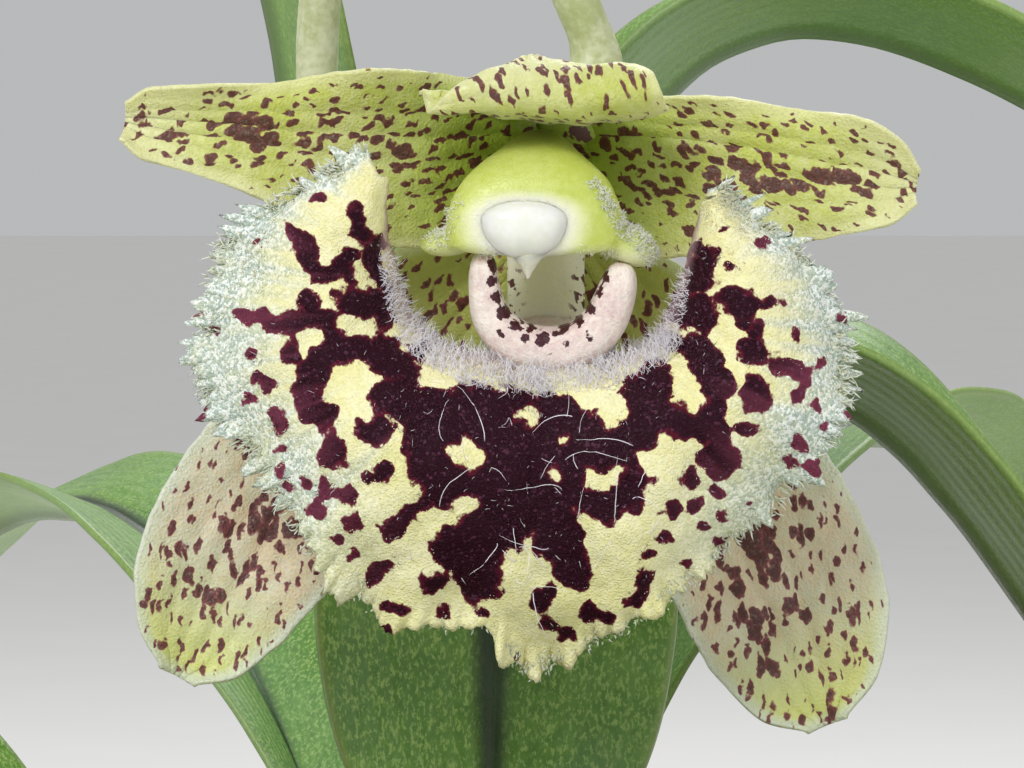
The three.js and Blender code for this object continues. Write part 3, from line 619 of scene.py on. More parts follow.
def mesh_piece(name, points, faces):
    """A piece straight from its points in millimetres and its faces."""
    mesh = bpy.data.meshes.new(name)
    mesh.from_pydata((points * MM).tolist(), [], faces)
    piece = bpy.data.objects.new(name, mesh)
    bpy.context.scene.collection.objects.link(piece)
    return piece


def done(piece, material, slot, *nodes, smooth_angle=None):
    """Gives a piece its finish and its place in the frame."""
    piece.data.materials.clear()
    piece.data.materials.append(material)
    pick(piece)
    if smooth_angle is None:
        bpy.ops.object.shade_smooth()
    else:
        bpy.ops.object.shade_smooth_by_angle(angle=math.radians(smooth_angle))
    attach(piece, "root")
    if nodes:
        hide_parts(*nodes)
    return piece


# Finishes


def node(tree, kind, inputs=None, **settings):
    """Adds a shader node with its settings, and feeds its inputs."""
    made = tree.nodes.new("ShaderNode" + kind)
    for key, value in settings.items():
        setattr(made, key, value)
    for key, value in (inputs or {}).items():
        feed(tree, made.inputs[key], value)
    return made


def feed(tree, socket, value):
    """Links another node's output to a socket, or sets the socket to a plain value."""
    if isinstance(value, bpy.types.NodeSocket):
        tree.links.new(value, socket)
    elif socket.type == "RGBA" and len(value) == 3:
        socket.default_value = (*value, 1)
    else:
        socket.default_value = value


def maths(tree, operation, one, other=0.0):
    return node(tree, "Math", {0: one, 1: other}, operation=operation).outputs[0]


def plus(tree, one, other):
    return maths(tree, "ADD", one, other)


def minus(tree, one, other):
    return maths(tree, "SUBTRACT", one, other)


def times(tree, one, other):
    return maths(tree, "MULTIPLY", one, other)


def swing(tree, value, amount):
    """Turns a value from 0 to 1 into one that swings about 0."""
    return times(tree, minus(tree, value, 0.5), amount)


def ramp(tree, value, low, high, start=0.0, end=1.0):
    """Goes smoothly from start to end as the value goes from low to high."""
    made = node(tree, "MapRange", interpolation_type="SMOOTHSTEP", inputs={
        "Value": value, "From Min": low, "From Max": high, "To Min": start, "To Max": end,
    })
    return made.outputs[0]


def blend(tree, factor, one, other):
    """Mixes two colours."""
    made = node(tree, "Mix", {0: factor, 6: one, 7: other}, data_type="RGBA")
    return made.outputs[2]


def layered(tree, ground, *layers):
    """Lays colours over a ground, each where its own mask is high."""
    for mask, colour in layers:
        ground = blend(tree, mask, ground, colour)
    return ground


def two_tone(tree, value, dark, light):
    return blend(tree, ramp(tree, value, 0.35, 0.65), dark, light)


def cloud(tree, vector, scale, detail=2.0, roughness=0.5):
    """Noise. On a place in metres, a scale of 1000 gives a feature for each millimetre."""
    made = node(tree, "TexNoise", {
        "Vector": vector, "Scale": scale, "Detail": detail, "Roughness": roughness,
    })
    return made.outputs["Fac"]


def kept(tree, name, output="Fac"):
    """A field of the piece, kept by its vertices."""
    return node(tree, "Attribute", attribute_name=name).outputs[output]


def ribs_of(tree, name, rate):
    """Waves that follow a field of the piece."""
    return maths(tree, "SINE", times(tree, kept(tree, name), rate))


def places(tree):
    return node(tree, "TexCoord").outputs["Object"]


def mapped(tree, vector, **settings):
    return node(tree, "Mapping", {"Vector": vector, **settings}).outputs[0]


def effect(name, inputs, outputs):
    """A shader node group with named sockets, made once. Returns its tree and its two ends."""
    group = bpy.data.node_groups.new(name, "ShaderNodeTree")
    for label, kind, start in inputs:
        socket = group.interface.new_socket(label, in_out="INPUT", socket_type="NodeSocket" + kind)
        if start is not None:
            socket.default_value = start
    for label, kind in outputs:
        group.interface.new_socket(label, in_out="OUTPUT", socket_type="NodeSocket" + kind)
    return group, group.nodes.new("NodeGroupInput").outputs, group.nodes.new("NodeGroupOutput").inputs


def make_skin_effect():
    """Fine papillae: small round cells with their own tone."""
    group, given, out = effect(
        "Papillae", [("Scale", "Float", 9000.0)], [("Height", "Float"), ("Tone", "Float")]
    )
    cells = node(group, "TexVoronoi", {"Vector": places(group), "Scale": given["Scale"]}).outputs
    tones = node(group, "SeparateColor", {"Color": cells["Color"]}).outputs
    feed(group, out["Height"], ramp(group, cells["Distance"], 0.0, 0.7, 1.0, 0.0))
    feed(group, out["Tone"], tones[0])


def make_mottle_effect():
    """Broad and fine variation of tone."""
    group, given, out = effect(
        "Mottle", [("Broad", "Float", 300.0), ("Fine", "Float", 3000.0)], [("Value", "Float")]
    )
    spot = places(group)
    broad = cloud(group, spot, given["Broad"], 3.0)
    fine = cloud(group, spot, given["Fine"], 2.0)
    feed(group, out["Value"], plus(group, times(group, broad, 0.6), times(group, fine, 0.4)))


def make_fleck_effect():
    """Long flecks on a surface laid flat in millimetres, as many and as large as the density asks."""
    group, given, out = effect(
        "Flecks",
        [("Flat", "Vector", None), ("Density", "Float", 0.5), ("Size", "Float", 1.0)],
        [("Mask", "Float"), ("Core", "Float")],
    )
    flat = given["Flat"]
    bend = node(group, "TexNoise", {"Vector": flat, "Scale": 1.6, "Detail": 2.0}).outputs["Color"]
    bent = node(group, "VectorMath", {0: bend, 1: (0.7, 0.7, 0.0), 2: flat}, operation="MULTIPLY_ADD")
    slanted = mapped(group, bent.outputs[0], Rotation=(0.0, 0.0, 0.3))
    stretched = mapped(group, slanted, Scale=(0.72, 1.6, 1.0))
    cells = node(group, "TexVoronoi", voronoi_dimensions="2D", feature="SMOOTH_F1", inputs={
        "Vector": stretched, "Scale": given["Size"], "Randomness": 0.95, "Smoothness": 0.3,
    })
    patches = swing(group, cloud(group, flat, 0.55, 2.0, 0.6), 0.95)
    reach = plus(group, times(group, given["Density"], 0.46), patches)
    frayed = swing(group, cloud(group, flat, 3.2, 2.0), 0.3)
    near = minus(group, plus(group, reach, frayed), cells.outputs["Distance"])
    feed(group, out["Mask"], ramp(group, near, -0.05, 0.05))
    feed(group, out["Core"], ramp(group, near, 0.0, 0.3))


def use(tree, name, **inputs):
    """Places a shared effect in a material with values of its own."""
    made = tree.nodes.new("ShaderNodeGroup")
    made.node_tree = bpy.data.node_groups[name]
    for key, value in inputs.items():
        feed(tree, made.inputs[key], value)
    return made.outputs


def mottled(tree, broad, fine):
    return use(tree, "Mottle", Broad=broad, Fine=fine)["Value"]


def flesh(weight, radius, depth):
    """Light that goes into living tissue, by colour, down to a depth in millimetres."""
    return {"Subsurface_Weight": weight, "Subsurface_Radius": radius, "Subsurface_Scale": depth * MM}


def finish_of(name, colour, roughness, varied, **even_values):
    """A material. Even values go on the shader's own sockets, and varied(tree) gives the rest.

    What it gives is a value for each socket by name. Its relief is a height, how deep that is
    in millimetres, and a strength.
    """
    material = bpy.data.materials.new(name)
    material.use_nodes = True
    tree = material.node_tree
    shader = tree.nodes["Principled BSDF"]
    feed(tree, shader.inputs["Base Color"], colour)
    feed(tree, shader.inputs["Roughness"], roughness)
    for key, value in even_values.items():
        feed(tree, shader.inputs[key.replace("_", " ")], value)
    for key, value in varied(tree).items():
        if key == "relief":
            height, depth, strength = value
            made = node(tree, "Bump", {"Height": height, "Distance": depth * MM, "Strength": strength})
            feed(tree, shader.inputs["Normal"], made.outputs["Normal"])
        else:
            feed(tree, shader.inputs[key], value)
    return material


def clay_finish(settings):
    """Fired clay with dark grit, and lime bloom that grows towards the rim."""
    damp, lime_white, dark_grit = tint(152, 94, 66), tint(214, 194, 176), tint(92, 52, 36)

    def varied(tree):
        spot = places(tree)
        tone = mottled(tree, 45.0, 700.0)
        height = node(tree, "SeparateXYZ", {"Vector": spot}).outputs["Z"]
        bare = ramp(tree, height, 0.0, 0.05, 0.62, 0.46)
        lime = ramp(tree, minus(tree, cloud(tree, spot, 85.0, 6.0, 0.7), bare), 0.0, 0.14)
        grit = cloud(tree, spot, 2400.0, 3.0)
        body = layered(
            tree, two_tone(tree, tone, damp, tuple(settings.clay)),
            (times(tree, lime, 0.45), lime_white),
            (times(tree, ramp(tree, grit, 0.66, 0.74), 0.5), dark_grit),
        )
        grain = plus(tree, grit, times(tree, cloud(tree, spot, 500.0, 2.0), 0.8))
        return {
            "Base Color": body, "Roughness": ramp(tree, tone, 0.3, 0.7, 0.78, 0.95),
            "relief": (grain, 0.12, 0.6),
        }

    return finish_of("Unglazed clay", tuple(settings.clay), 0.88, varied)


def bark_finish(settings):
    """Bark with fibres along each chip, dark splits and pale weathered ridges."""
    dark, light, hollow = tint(66, 42, 30), tint(172, 118, 80), tint(46, 31, 24)
    weathered, split = tint(190, 150, 114), tint(38, 24, 18)

    def varied(tree):
        tone = mottled(tree, 160.0, 900.0)
        chip = blend(tree, kept(tree, "tone"), dark, light)
        shaded = blend(tree, ramp(tree, tone, 0.34, 0.56, 0.4, 1.0), hollow, chip)
        grain = mapped(tree, kept(tree, "grain", "Vector"), Scale=(0.25, 1.4, 1.8))
        fibres = cloud(tree, grain, 1.0, 6.0, 0.7)
        body = layered(
            tree, shaded,
            (ramp(tree, fibres, 0.54, 0.68, 0.0, 0.5), weathered),
            (ramp(tree, fibres, 0.3, 0.44, 0.75, 0.0), split),
        )
        return {"Base Color": body, "relief": (fibres, 0.9, 0.9)}

    return finish_of("Bark", tuple(settings.bark), 0.9, varied)


def moss_finish():
    def varied(tree):
        tone = mottled(tree, 250.0, 1500.0)
        return {"Base Color": two_tone(tree, tone, tint(64, 84, 28), tint(136, 150, 60))}

    return finish_of("Moss", tint(96, 116, 44), 0.7, varied)


def root_finish():
    """Pale felt with a browner tip."""
    grey, pale, tip = tint(150, 148, 118), tint(206, 204, 184), tint(120, 104, 70)

    def varied(tree):
        felt = two_tone(tree, mottled(tree, 350.0, 2600.0), grey, pale)
        return {
            "Base Color": blend(tree, ramp(tree, kept(tree, "along"), 0.75, 1.0), felt, tip),
            "relief": (use(tree, "Papillae", Scale=4200.0)["Height"], 0.06, 0.7),
        }

    return finish_of("Felted root", tint(186, 184, 156), 0.8, varied, Sheen_Weight=0.4, Sheen_Roughness=0.5)


def sheath_finish(settings):
    """Ribbed sheaths, straw brown at the base and green above, with papery edges."""
    rib, papery = tint(196, 190, 140), tint(206, 190, 150)

    def varied(tree):
        tone = mottled(tree, 220.0, 1500.0)
        green = blend(tree, tone, tint(94, 120, 52), tint(140, 158, 84))
        straw = blend(tree, tone, tint(120, 92, 56), tint(186, 160, 108))
        level = plus(tree, kept(tree, "along"), swing(tree, tone, 0.9))
        ribs = ribs_of(tree, "across", 40.0)
        aside = maths(tree, "ABSOLUTE", kept(tree, "across"))
        body = layered(
            tree, straw,
            (ramp(tree, level, 0.2, 0.6), green),
            (ramp(tree, ribs, 0.6, 1.0, 0.0, 0.35), rib),
            (ramp(tree, aside, 0.88, 1.0, 0.0, 0.5), papery),
        )
        fibres = cloud(tree, places(tree), 1800.0, 3.0)
        return {"Base Color": body, "relief": (plus(tree, ribs, fibres), 0.1, 0.5)}

    return finish_of("Leaf sheath", tuple(settings.leaf), 0.55, varied, Specular_IOR_Level=0.4)


def leaf_finish(settings):
    """Waxy green with pale flecks, lengthwise veins, painted shade in the groove along the midrib and a paler
    underside.
    """
    shade, fleck, vein = tint(84, 130, 46), tint(168, 198, 112), tint(120, 152, 80)
    # groove is painted shade: the dark of the shadow in the folded midrib.
    groove, margin, under = tint(14, 34, 10), tint(150, 170, 96), tint(126, 156, 92)
    wax, stem_end = tint(136, 170, 132), tint(156, 170, 96)

    def varied(tree):
        spot = places(tree)
        aside = maths(tree, "ABSOLUTE", kept(tree, "across"))
        flecks = cloud(tree, mapped(tree, spot, Scale=(1.0, 1.0, 0.55)), 4600.0, 3.0, 0.7)
        veins = ribs_of(tree, "across", 52.0)
        upper = layered(
            tree, two_tone(tree, mottled(tree, 140.0, 1500.0), shade, tuple(settings.leaf)),
            (ramp(tree, flecks, 0.48, 0.62, 0.0, 0.8), fleck),
            (ramp(tree, veins, 0.7, 1.0, 0.0, 0.2), vein),
            # Painted shade darkens the groove along the midrib, where the fold shadows it.
            (ramp(tree, aside, 0.05, 0.19, 0.92, 0.0), groove),
            (ramp(tree, aside, 0.95, 1.0, 0.0, 0.6), margin),
        )
        body = layered(
            tree, blend(tree, 0.5, upper, under),
            (kept(tree, "front"), upper),
            (ramp(tree, cloud(tree, spot, 90.0, 3.0), 0.45, 0.75, 0.0, 0.3), wax),
            (ramp(tree, kept(tree, "along"), 0.0, 0.12, 0.5, 0.0), stem_end),
        )
        relief = plus(tree, times(tree, veins, 0.5), cloud(tree, spot, 5200.0, 2.0))
        return {
            "Base Color": body, "Roughness": ramp(tree, flecks, 0.3, 0.7, 0.32, 0.48),
            "relief": (relief, 0.05, 0.55),
        }

    return finish_of("Waxy leaf", tuple(settings.leaf), 0.4, varied, Specular_IOR_Level=0.45)


def stalk_finish():
    """A pale stem, flecked where it meets the flower, and brown papery bracts."""
    stem_dark, stem_pale = tint(178, 186, 132), tint(216, 218, 184)
    throat, fleck = tint(164, 186, 62), tint(88, 32, 36)
    bract_dark, bract_pale = tint(128, 100, 62), tint(196, 176, 128)
    line, tip = tint(112, 84, 52), tint(214, 200, 160)

    def varied(tree):
        spot = places(tree)
        tone = mottled(tree, 260.0, 2600.0)
        flecks = ramp(tree, cloud(tree, spot, 1300.0, 2.0), 0.54, 0.6)
        papery = layered(
            tree, two_tone(tree, tone, bract_dark, bract_pale),
            (ramp(tree, ribs_of(tree, "around", 34.0), 0.3, 1.0, 0.0, 0.5), line),
            (ramp(tree, kept(tree, "along"), 0.7, 1.0, 0.0, 0.6), tip),
        )
        body = layered(
            tree, two_tone(tree, tone, stem_dark, stem_pale),
            (kept(tree, "throat"), blend(tree, flecks, throat, fleck)),
            (kept(tree, "bract"), papery),
        )
        return {"Base Color": body, "relief": (cloud(tree, spot, 3200.0, 3.0), 0.05, 0.5)}

    return finish_of("Flower stalk", tint(190, 194, 150), 0.45, varied, **flesh(0.15, (1.0, 1.0, 0.5), 0.6))


def tepal_finish(name, ground, base, pale, end, fleck, size):
    """A petal's skin: its ground, greener base, pale margin, end and flecks."""
    fleck_core, glint = tint(78, 20, 34), tint(246, 246, 222)

    def varied(tree):
        rise = kept(tree, "along")
        skin = use(tree, "Papillae", Scale=6500.0)
        density, flat = kept(tree, "flecking"), kept(tree, "flat", "Vector")
        flecks = use(tree, "Flecks", Flat=flat, Density=density, Size=size)
        shown = times(tree, flecks["Mask"], ramp(tree, kept(tree, "front"), 0.0, 1.0, 0.45, 0.95))
        body = layered(
            tree, ground,
            (ramp(tree, mottled(tree, 260.0, 2600.0), 0.35, 0.65, 0.0, 0.55), pale),
            (ramp(tree, rise, 0.08, 0.5, 1.0, 0.0), base),
            (ramp(tree, rise, 0.72, 1.0, 0.0, 0.8), end),
            (ramp(tree, kept(tree, "edge"), 0.02, 0.3, 0.75, 0.0), pale),
            (shown, blend(tree, flecks["Core"], fleck, fleck_core)),
            (ramp(tree, skin["Tone"], 0.75, 1.0, 0.0, 0.07), glint),
        )
        return {
            "Base Color": body, "Roughness": ramp(tree, skin["Tone"], 0.0, 1.0, 0.55, 0.32),
            "relief": (plus(tree, skin["Height"], cloud(tree, places(tree), 1400.0, 2.0)), 0.06, 0.6),
        }

    return finish_of(
        name, ground, 0.45, varied, **flesh(0.35, (1.0, 0.9, 0.4), 0.8),
        Sheen_Weight=0.15, Sheen_Roughness=0.4, Specular_IOR_Level=0.4,
    )


def lip_finish(settings):
    """Velvet: cream with maroon markings that are redder at their edges, silvery sides with painted white
    glints, and painted shade where the lip rolls back into its throat.
    """
    cream, silver_dark, pale_silver_and_glint = tint(236, 231, 166), tint(174, 190, 178), tint(246, 250, 246)
    red_edge, frosted_maroon = tint(98, 16, 40), tint(150, 70, 96)
    # rolled is painted shade: the purple-grey dark where the lip's inner edge curves away.
    glint, rolled = tint(170, 100, 140), tint(170, 140, 150)

    def varied(tree):
        spot = places(tree)
        silver = kept(tree, "silver")
        tone = mottled(tree, 330.0, 2400.0)
        skin = use(tree, "Papillae", Scale=7500.0)
        # Papillae of the silvery sides run from grey-blue to white at random: the whitish tissue with painted
        # white glints on it.
        silvery = blend(tree, ramp(tree, skin["Tone"], 0.2, 0.9), silver_dark, pale_silver_and_glint)
        frayed = swing(tree, cloud(tree, spot, 2200.0, 2.0), 0.22)
        grained = swing(tree, use(tree, "Papillae", Scale=5000.0)["Tone"], 0.06)
        depth = plus(tree, plus(tree, kept(tree, "blotch"), frayed), grained)
        velvet = layered(
            tree, red_edge,
            (ramp(tree, depth, 0.49, 0.66), tuple(settings.maroon)),
            (times(tree, silver, 0.5), frosted_maroon),
            (ramp(tree, skin["Tone"], 0.88, 1.0, 0.0, 0.16), glint),
        )
        through = ramp(tree, kept(tree, "front"), 0.0, 1.0, 0.35, 1.0)
        body = layered(
            tree, two_tone(tree, tone, cream, tuple(settings.lip)),
            (times(tree, silver, ramp(tree, tone, 0.25, 0.6, 0.6, 1.0)), silvery),
            (times(tree, ramp(tree, depth, 0.465, 0.53), through), velvet),
            # Painted shade along the inner edge, where the lip rolls back into its throat.
            (ramp(tree, kept(tree, "throat"), 0.0, 0.1, 0.8, 0.0), rolled),
        )
        return {
            "Base Color": body, "Roughness": ramp(tree, skin["Tone"], 0.2, 1.0, 0.7, 0.4),
            "relief": (plus(tree, skin["Height"], cloud(tree, spot, 1500.0, 2.0)), 0.07, 0.6),
        }

    return finish_of(
        "Velvet lip", tuple(settings.lip), 0.6, varied, **flesh(0.12, (1.0, 0.8, 0.5), 0.4),
        Specular_IOR_Level=0.15,
    )


def callus_finish():
    """Pale pink flesh with ragged dark marks."""
    pink, pale, mark = tint(222, 198, 194), tint(243, 232, 222), tint(66, 12, 28)

    def varied(tree):
        ragged = swing(tree, cloud(tree, places(tree), 2300.0, 4.0, 0.6), 1.7)
        marks = ramp(tree, plus(tree, kept(tree, "marks"), ragged), 0.54, 0.64)
        skin = use(tree, "Papillae", Scale=7000.0)
        return {
            "Base Color": blend(tree, marks, two_tone(tree, mottled(tree, 420.0, 3200.0), pink, pale), mark),
            "Roughness": ramp(tree, skin["Tone"], 0.0, 1.0, 0.6, 0.35),
            "relief": (skin["Height"], 0.06, 0.6),
        }

    return finish_of("Callus", tint(226, 200, 192), 0.5, varied, **flesh(0.4, (1.0, 0.6, 0.5), 0.9))


def column_finish(settings):
    """Green flesh with a painted glow round the cap, and a pale foot, lifted paler as painted light against
    its shade, which is flecked at its sides.
    """
    # rim paints a glow of light round the white cap, and the hood's paler lower edge. foot is pale cream
    # lifted near white: painted light where the hood shades it.
    fresh, rim, foot = tint(216, 224, 140), tint(246, 247, 214), tint(255, 248, 222)
    fleck, beak = tint(96, 40, 36), tint(226, 224, 200)

    def varied(tree):
        spot = places(tree)
        skin = use(tree, "Papillae", Scale=8000.0)
        flecks = ramp(tree, cloud(tree, spot, 1900.0, 2.0), 0.55, 0.61)
        body = layered(
            tree, tuple(settings.column),
            (ramp(tree, mottled(tree, 200.0, 2600.0), 0.35, 0.65, 0.0, 0.6), fresh),
            # A painted glow round the cap, and the paler lower edge of the hood.
            (kept(tree, "rim"), rim),
            # The foot's pale cream, lifted near white as painted light against the hood's shade.
            (kept(tree, "foot"), foot),
            (times(tree, flecks, kept(tree, "marks")), fleck),
            (kept(tree, "beak"), beak),
        )
        return {
            "Base Color": body, "Roughness": ramp(tree, skin["Tone"], 0.0, 1.0, 0.45, 0.28),
            "relief": (plus(tree, skin["Height"], cloud(tree, spot, 1500.0, 2.0)), 0.04, 0.5),
        }

    return finish_of(
        "Column", tuple(settings.column), 0.4, varied, **flesh(0.5, (1.0, 1.0, 0.35), 1.4),
        Specular_IOR_Level=0.5, Coat_Weight=0.1, Coat_Roughness=0.25,
    )


def cap_finish():
    def varied(tree):
        tone = ramp(tree, mottled(tree, 400.0, 2600.0), 0.3, 0.7)
        return {
            "Base Color": blend(tree, tone, tint(250, 250, 240), tint(238, 240, 222)),
            "relief": (cloud(tree, places(tree), 1800.0, 2.0), 0.02, 0.4),
        }

    return finish_of(
        "Anther cap", tint(248, 248, 238), 0.22, varied, **flesh(0.8, (1.0, 1.0, 0.8), 2.0),
        Coat_Weight=0.5, Coat_Roughness=0.12,
    )


def hair_finish(name, root, tip):
    """Hairs, each maroon or light by its own tone, and paler towards its tip."""
    dark_root, dark_tip = tint(50, 8, 26), tint(104, 44, 70)

    def varied(tree):
        rise = kept(tree, "along")
        light = blend(tree, rise, root, tip)
        dark = blend(tree, rise, dark_root, dark_tip)
        return {"Base Color": blend(tree, kept(tree, "tone"), dark, light)}

    return finish_of(name, tip, 0.35, varied, Specular_IOR_Level=0.6)


def floor_finish():
    def varied(tree):
        tone = ramp(tree, cloud(tree, places(tree), 40.0, 4.0), 0.3, 0.7, 0.0, 0.35)
        return {"Base Color": blend(tree, tone, tint(246, 245, 243), tint(250, 249, 247))}

    return finish_of("Pale floor", tint(248, 247, 245), 0.9, varied)


# The flower's surfaces


def tepal_surface(shape, a, b):
    """Middle surface of a tepal, with a from base to tip and b across, and the way that it faces."""
    rib, tangent = along(shape["rib"], a)
    across = unit(np.array(shape["across"], float))
    sideways = unit(across - tangent * (tangent @ across)[:, None])
    facing = np.cross(sideways, tangent) * shape["side"]
    round_tip = np.sqrt(1 - shape["point"] * smooth(0.9, 1.0, a) ** 3)
    above = profile(shape["above"], a) * round_tip
    below = profile(shape["below"], a) * round_tip
    width = np.where(b[None] > 0, above[:, None], below[:, None])
    lift = shape["cup"] * b[None] ** 2 * np.minimum(1, 3 * a)[:, None]
    lift = lift + shape["wave"] * np.sin(15 * a[:, None] + b[None]) * np.abs(b[None]) ** 3
    flat = b[None] * width
    return rib, sideways, facing, flat, lift, width


def lip_surface(s, t):
    """The lip's middle surface: s runs from its left peak round to its right one, t to the margin."""
    inner, outer = catmull(LIP_THROAT, s), catmull(LIP_EDGE, s)
    outward = outer - inner
    point = inner + outward * t[..., None]
    wave = LIP_WAVE["height"] * np.sin(2 * np.pi * LIP_WAVE["turns"] * s) * t**3
    point[..., 1] -= profile(LIP_BULGE, s) * np.sin(np.pi * t**0.7) + wave
    outward[..., 1] = 0
    return point + FLOWER, unit(outward)


def lip_normal(s, t):
    """The way that the lip's upper face looks."""
    step = 1e-3
    here, _ = lip_surface(s, t)
    round_it, _ = lip_surface(np.clip(s + step, 0, 1), t)
    out, _ = lip_surface(s, np.clip(t + step, 0, 1))
    back, _ = lip_surface(np.clip(s - step, 0, 1), t)
    inside, _ = lip_surface(s, np.clip(t - step, 0, 1))
    normal = unit(np.cross(round_it - back, out - inside))
    return np.where(normal[..., 1:2] > 0, -normal, normal), here


def reach_of(x, z, route):
    """Distance from points to a route of straight runs."""
    nearest = np.full(np.shape(x), 99.0)
    for (x0, z0), (x1, z1) in zip(route, route[1:]):
        run = np.array([x1 - x0, z1 - z0])
        share = np.clip(((x - x0) * run[0] + (z - z0) * run[1]) / (run @ run), 0, 1)
        nearest = np.minimum(nearest, np.hypot(x - x0 - share * run[0], z - z0 - share * run[1]))
    return nearest


def blotches(x, z):
    """How deep a point of the lip lies in its markings: 0.5 at their edge, 1 well inside."""
    depth = np.full(np.shape(x), -9.0)
    for radius, route in LIP_STROKES:
        depth = np.maximum(depth, radius - reach_of(x, z, route))
    for radius, spots in LIP_SPOTS:
        for x0, z0 in spots:
            depth = np.maximum(depth, radius - np.hypot(x - x0, z - z0))
    for radius, route in LIP_ISLANDS:
        depth = np.minimum(depth, reach_of(x, z, route) - radius)
    return np.clip(0.5 + depth / MARKING_EDGE, 0, 1)


class OrchidSettings(bpy.types.PropertyGroup):
    """Sizes and colours that a user would change."""

    hair_thickness: FloatProperty(
        name="Hair thickness", description="Radius of a white hair on the lip, in millimetres",
        default=0.026, min=0.005, max=0.1,
    )
    hair_length: FloatProperty(
        name="Hair length", description="Length of the longest white hairs, in millimetres",
        default=4.2, min=0.5, max=6,
    )
    papillae: IntProperty(
        name="Papillae", description="How many papillae cover the lip", default=9000, min=0, max=20000,
    )
    clay: FloatVectorProperty(
        name="Clay", description="Colour of the pot", subtype="COLOR", default=tint(184, 122, 88),
    )
    bark: FloatVectorProperty(
        name="Bark", description="Colour of the bark chips", subtype="COLOR", default=tint(108, 72, 48),
    )
    leaf: FloatVectorProperty(
        name="Leaf", description="Colour of the leaves", subtype="COLOR", default=tint(114, 158, 62),
    )
    petal: FloatVectorProperty(
        name="Petal", description="Ground colour of the petals", subtype="COLOR", default=tint(190, 198, 92),
    )
    sepal: FloatVectorProperty(
        name="Sepal", description="Ground colour of the side sepals", subtype="COLOR",
        default=tint(228, 210, 178),
    )
    lip: FloatVectorProperty(
        name="Lip", description="Ground colour of the lip", subtype="COLOR", default=tint(246, 241, 196),
    )
    maroon: FloatVectorProperty(
        name="Markings", description="Colour of the lip's markings", subtype="COLOR", default=tint(40, 2, 20),
    )
    column: FloatVectorProperty(
        name="Column", description="Colour of the column", subtype="COLOR", default=tint(192, 205, 88),
    )


class ORCHID_OT_stage(bpy.types.Operator):
    """Sets the pale floor, the soft studio lights and the camera"""

    bl_idname = "orchid.stage"
    bl_label = "Stage"

    def execute(self, context):
        for make_effect in (make_skin_effect, make_mottle_effect, make_fleck_effect):
            make_effect()
        scene = context.scene
        floor = primitive(bpy.ops.mesh.primitive_plane_add, "floor", size=6)
        floor.data.materials.append(floor_finish())
        self.make_daylight(scene)
        target = Vector(CAMERA["target"]) * MM
        for name, lamp in LAMPS.items():
            light = bpy.data.lights.new(name, "AREA")
            light.size = lamp["size"]
            light.energy = lamp["power"]
            self.aim(scene, name, light, target, Vector(lamp["offset"]))
        self.make_camera(scene, target)
        return {"FINISHED"}

    def make_daylight(self, scene):
        """Even pale light from all round."""
        world = bpy.data.worlds.new("Studio")
        world.use_nodes = True
        background = world.node_tree.nodes["Background"]
        background.inputs["Color"].default_value = (*tint(232, 233, 234), 1)
        background.inputs["Strength"].default_value = 0.6
        scene.world = world
        scene.view_settings.view_transform = "Standard"

    def make_camera(self, scene, target):
        """The lens takes in the camera's width at the distance of the flower."""
        camera = bpy.data.cameras.new("view")
        camera.sensor_width = CAMERA["sensor"]
        camera.lens = CAMERA["sensor"] * CAMERA["distance"] / CAMERA["width"]
        camera.clip_start, camera.clip_end = 0.01, 20
        rise = math.radians(CAMERA["rise"])
        offset = Vector((0, -math.cos(rise), math.sin(rise))) * CAMERA["distance"] * MM
        scene.camera = self.aim(scene, "view", camera, target, offset)

    def aim(self, scene, name, data, target, offset):
        """Places a lamp or camera at its offset from the target, and turns it that way."""
        thing = bpy.data.objects.new(name, data)
        scene.collection.objects.link(thing)
        thing.location = target + offset
        thing.rotation_euler = (-offset).to_track_quat("-Z", "Y").to_euler()
        return thing


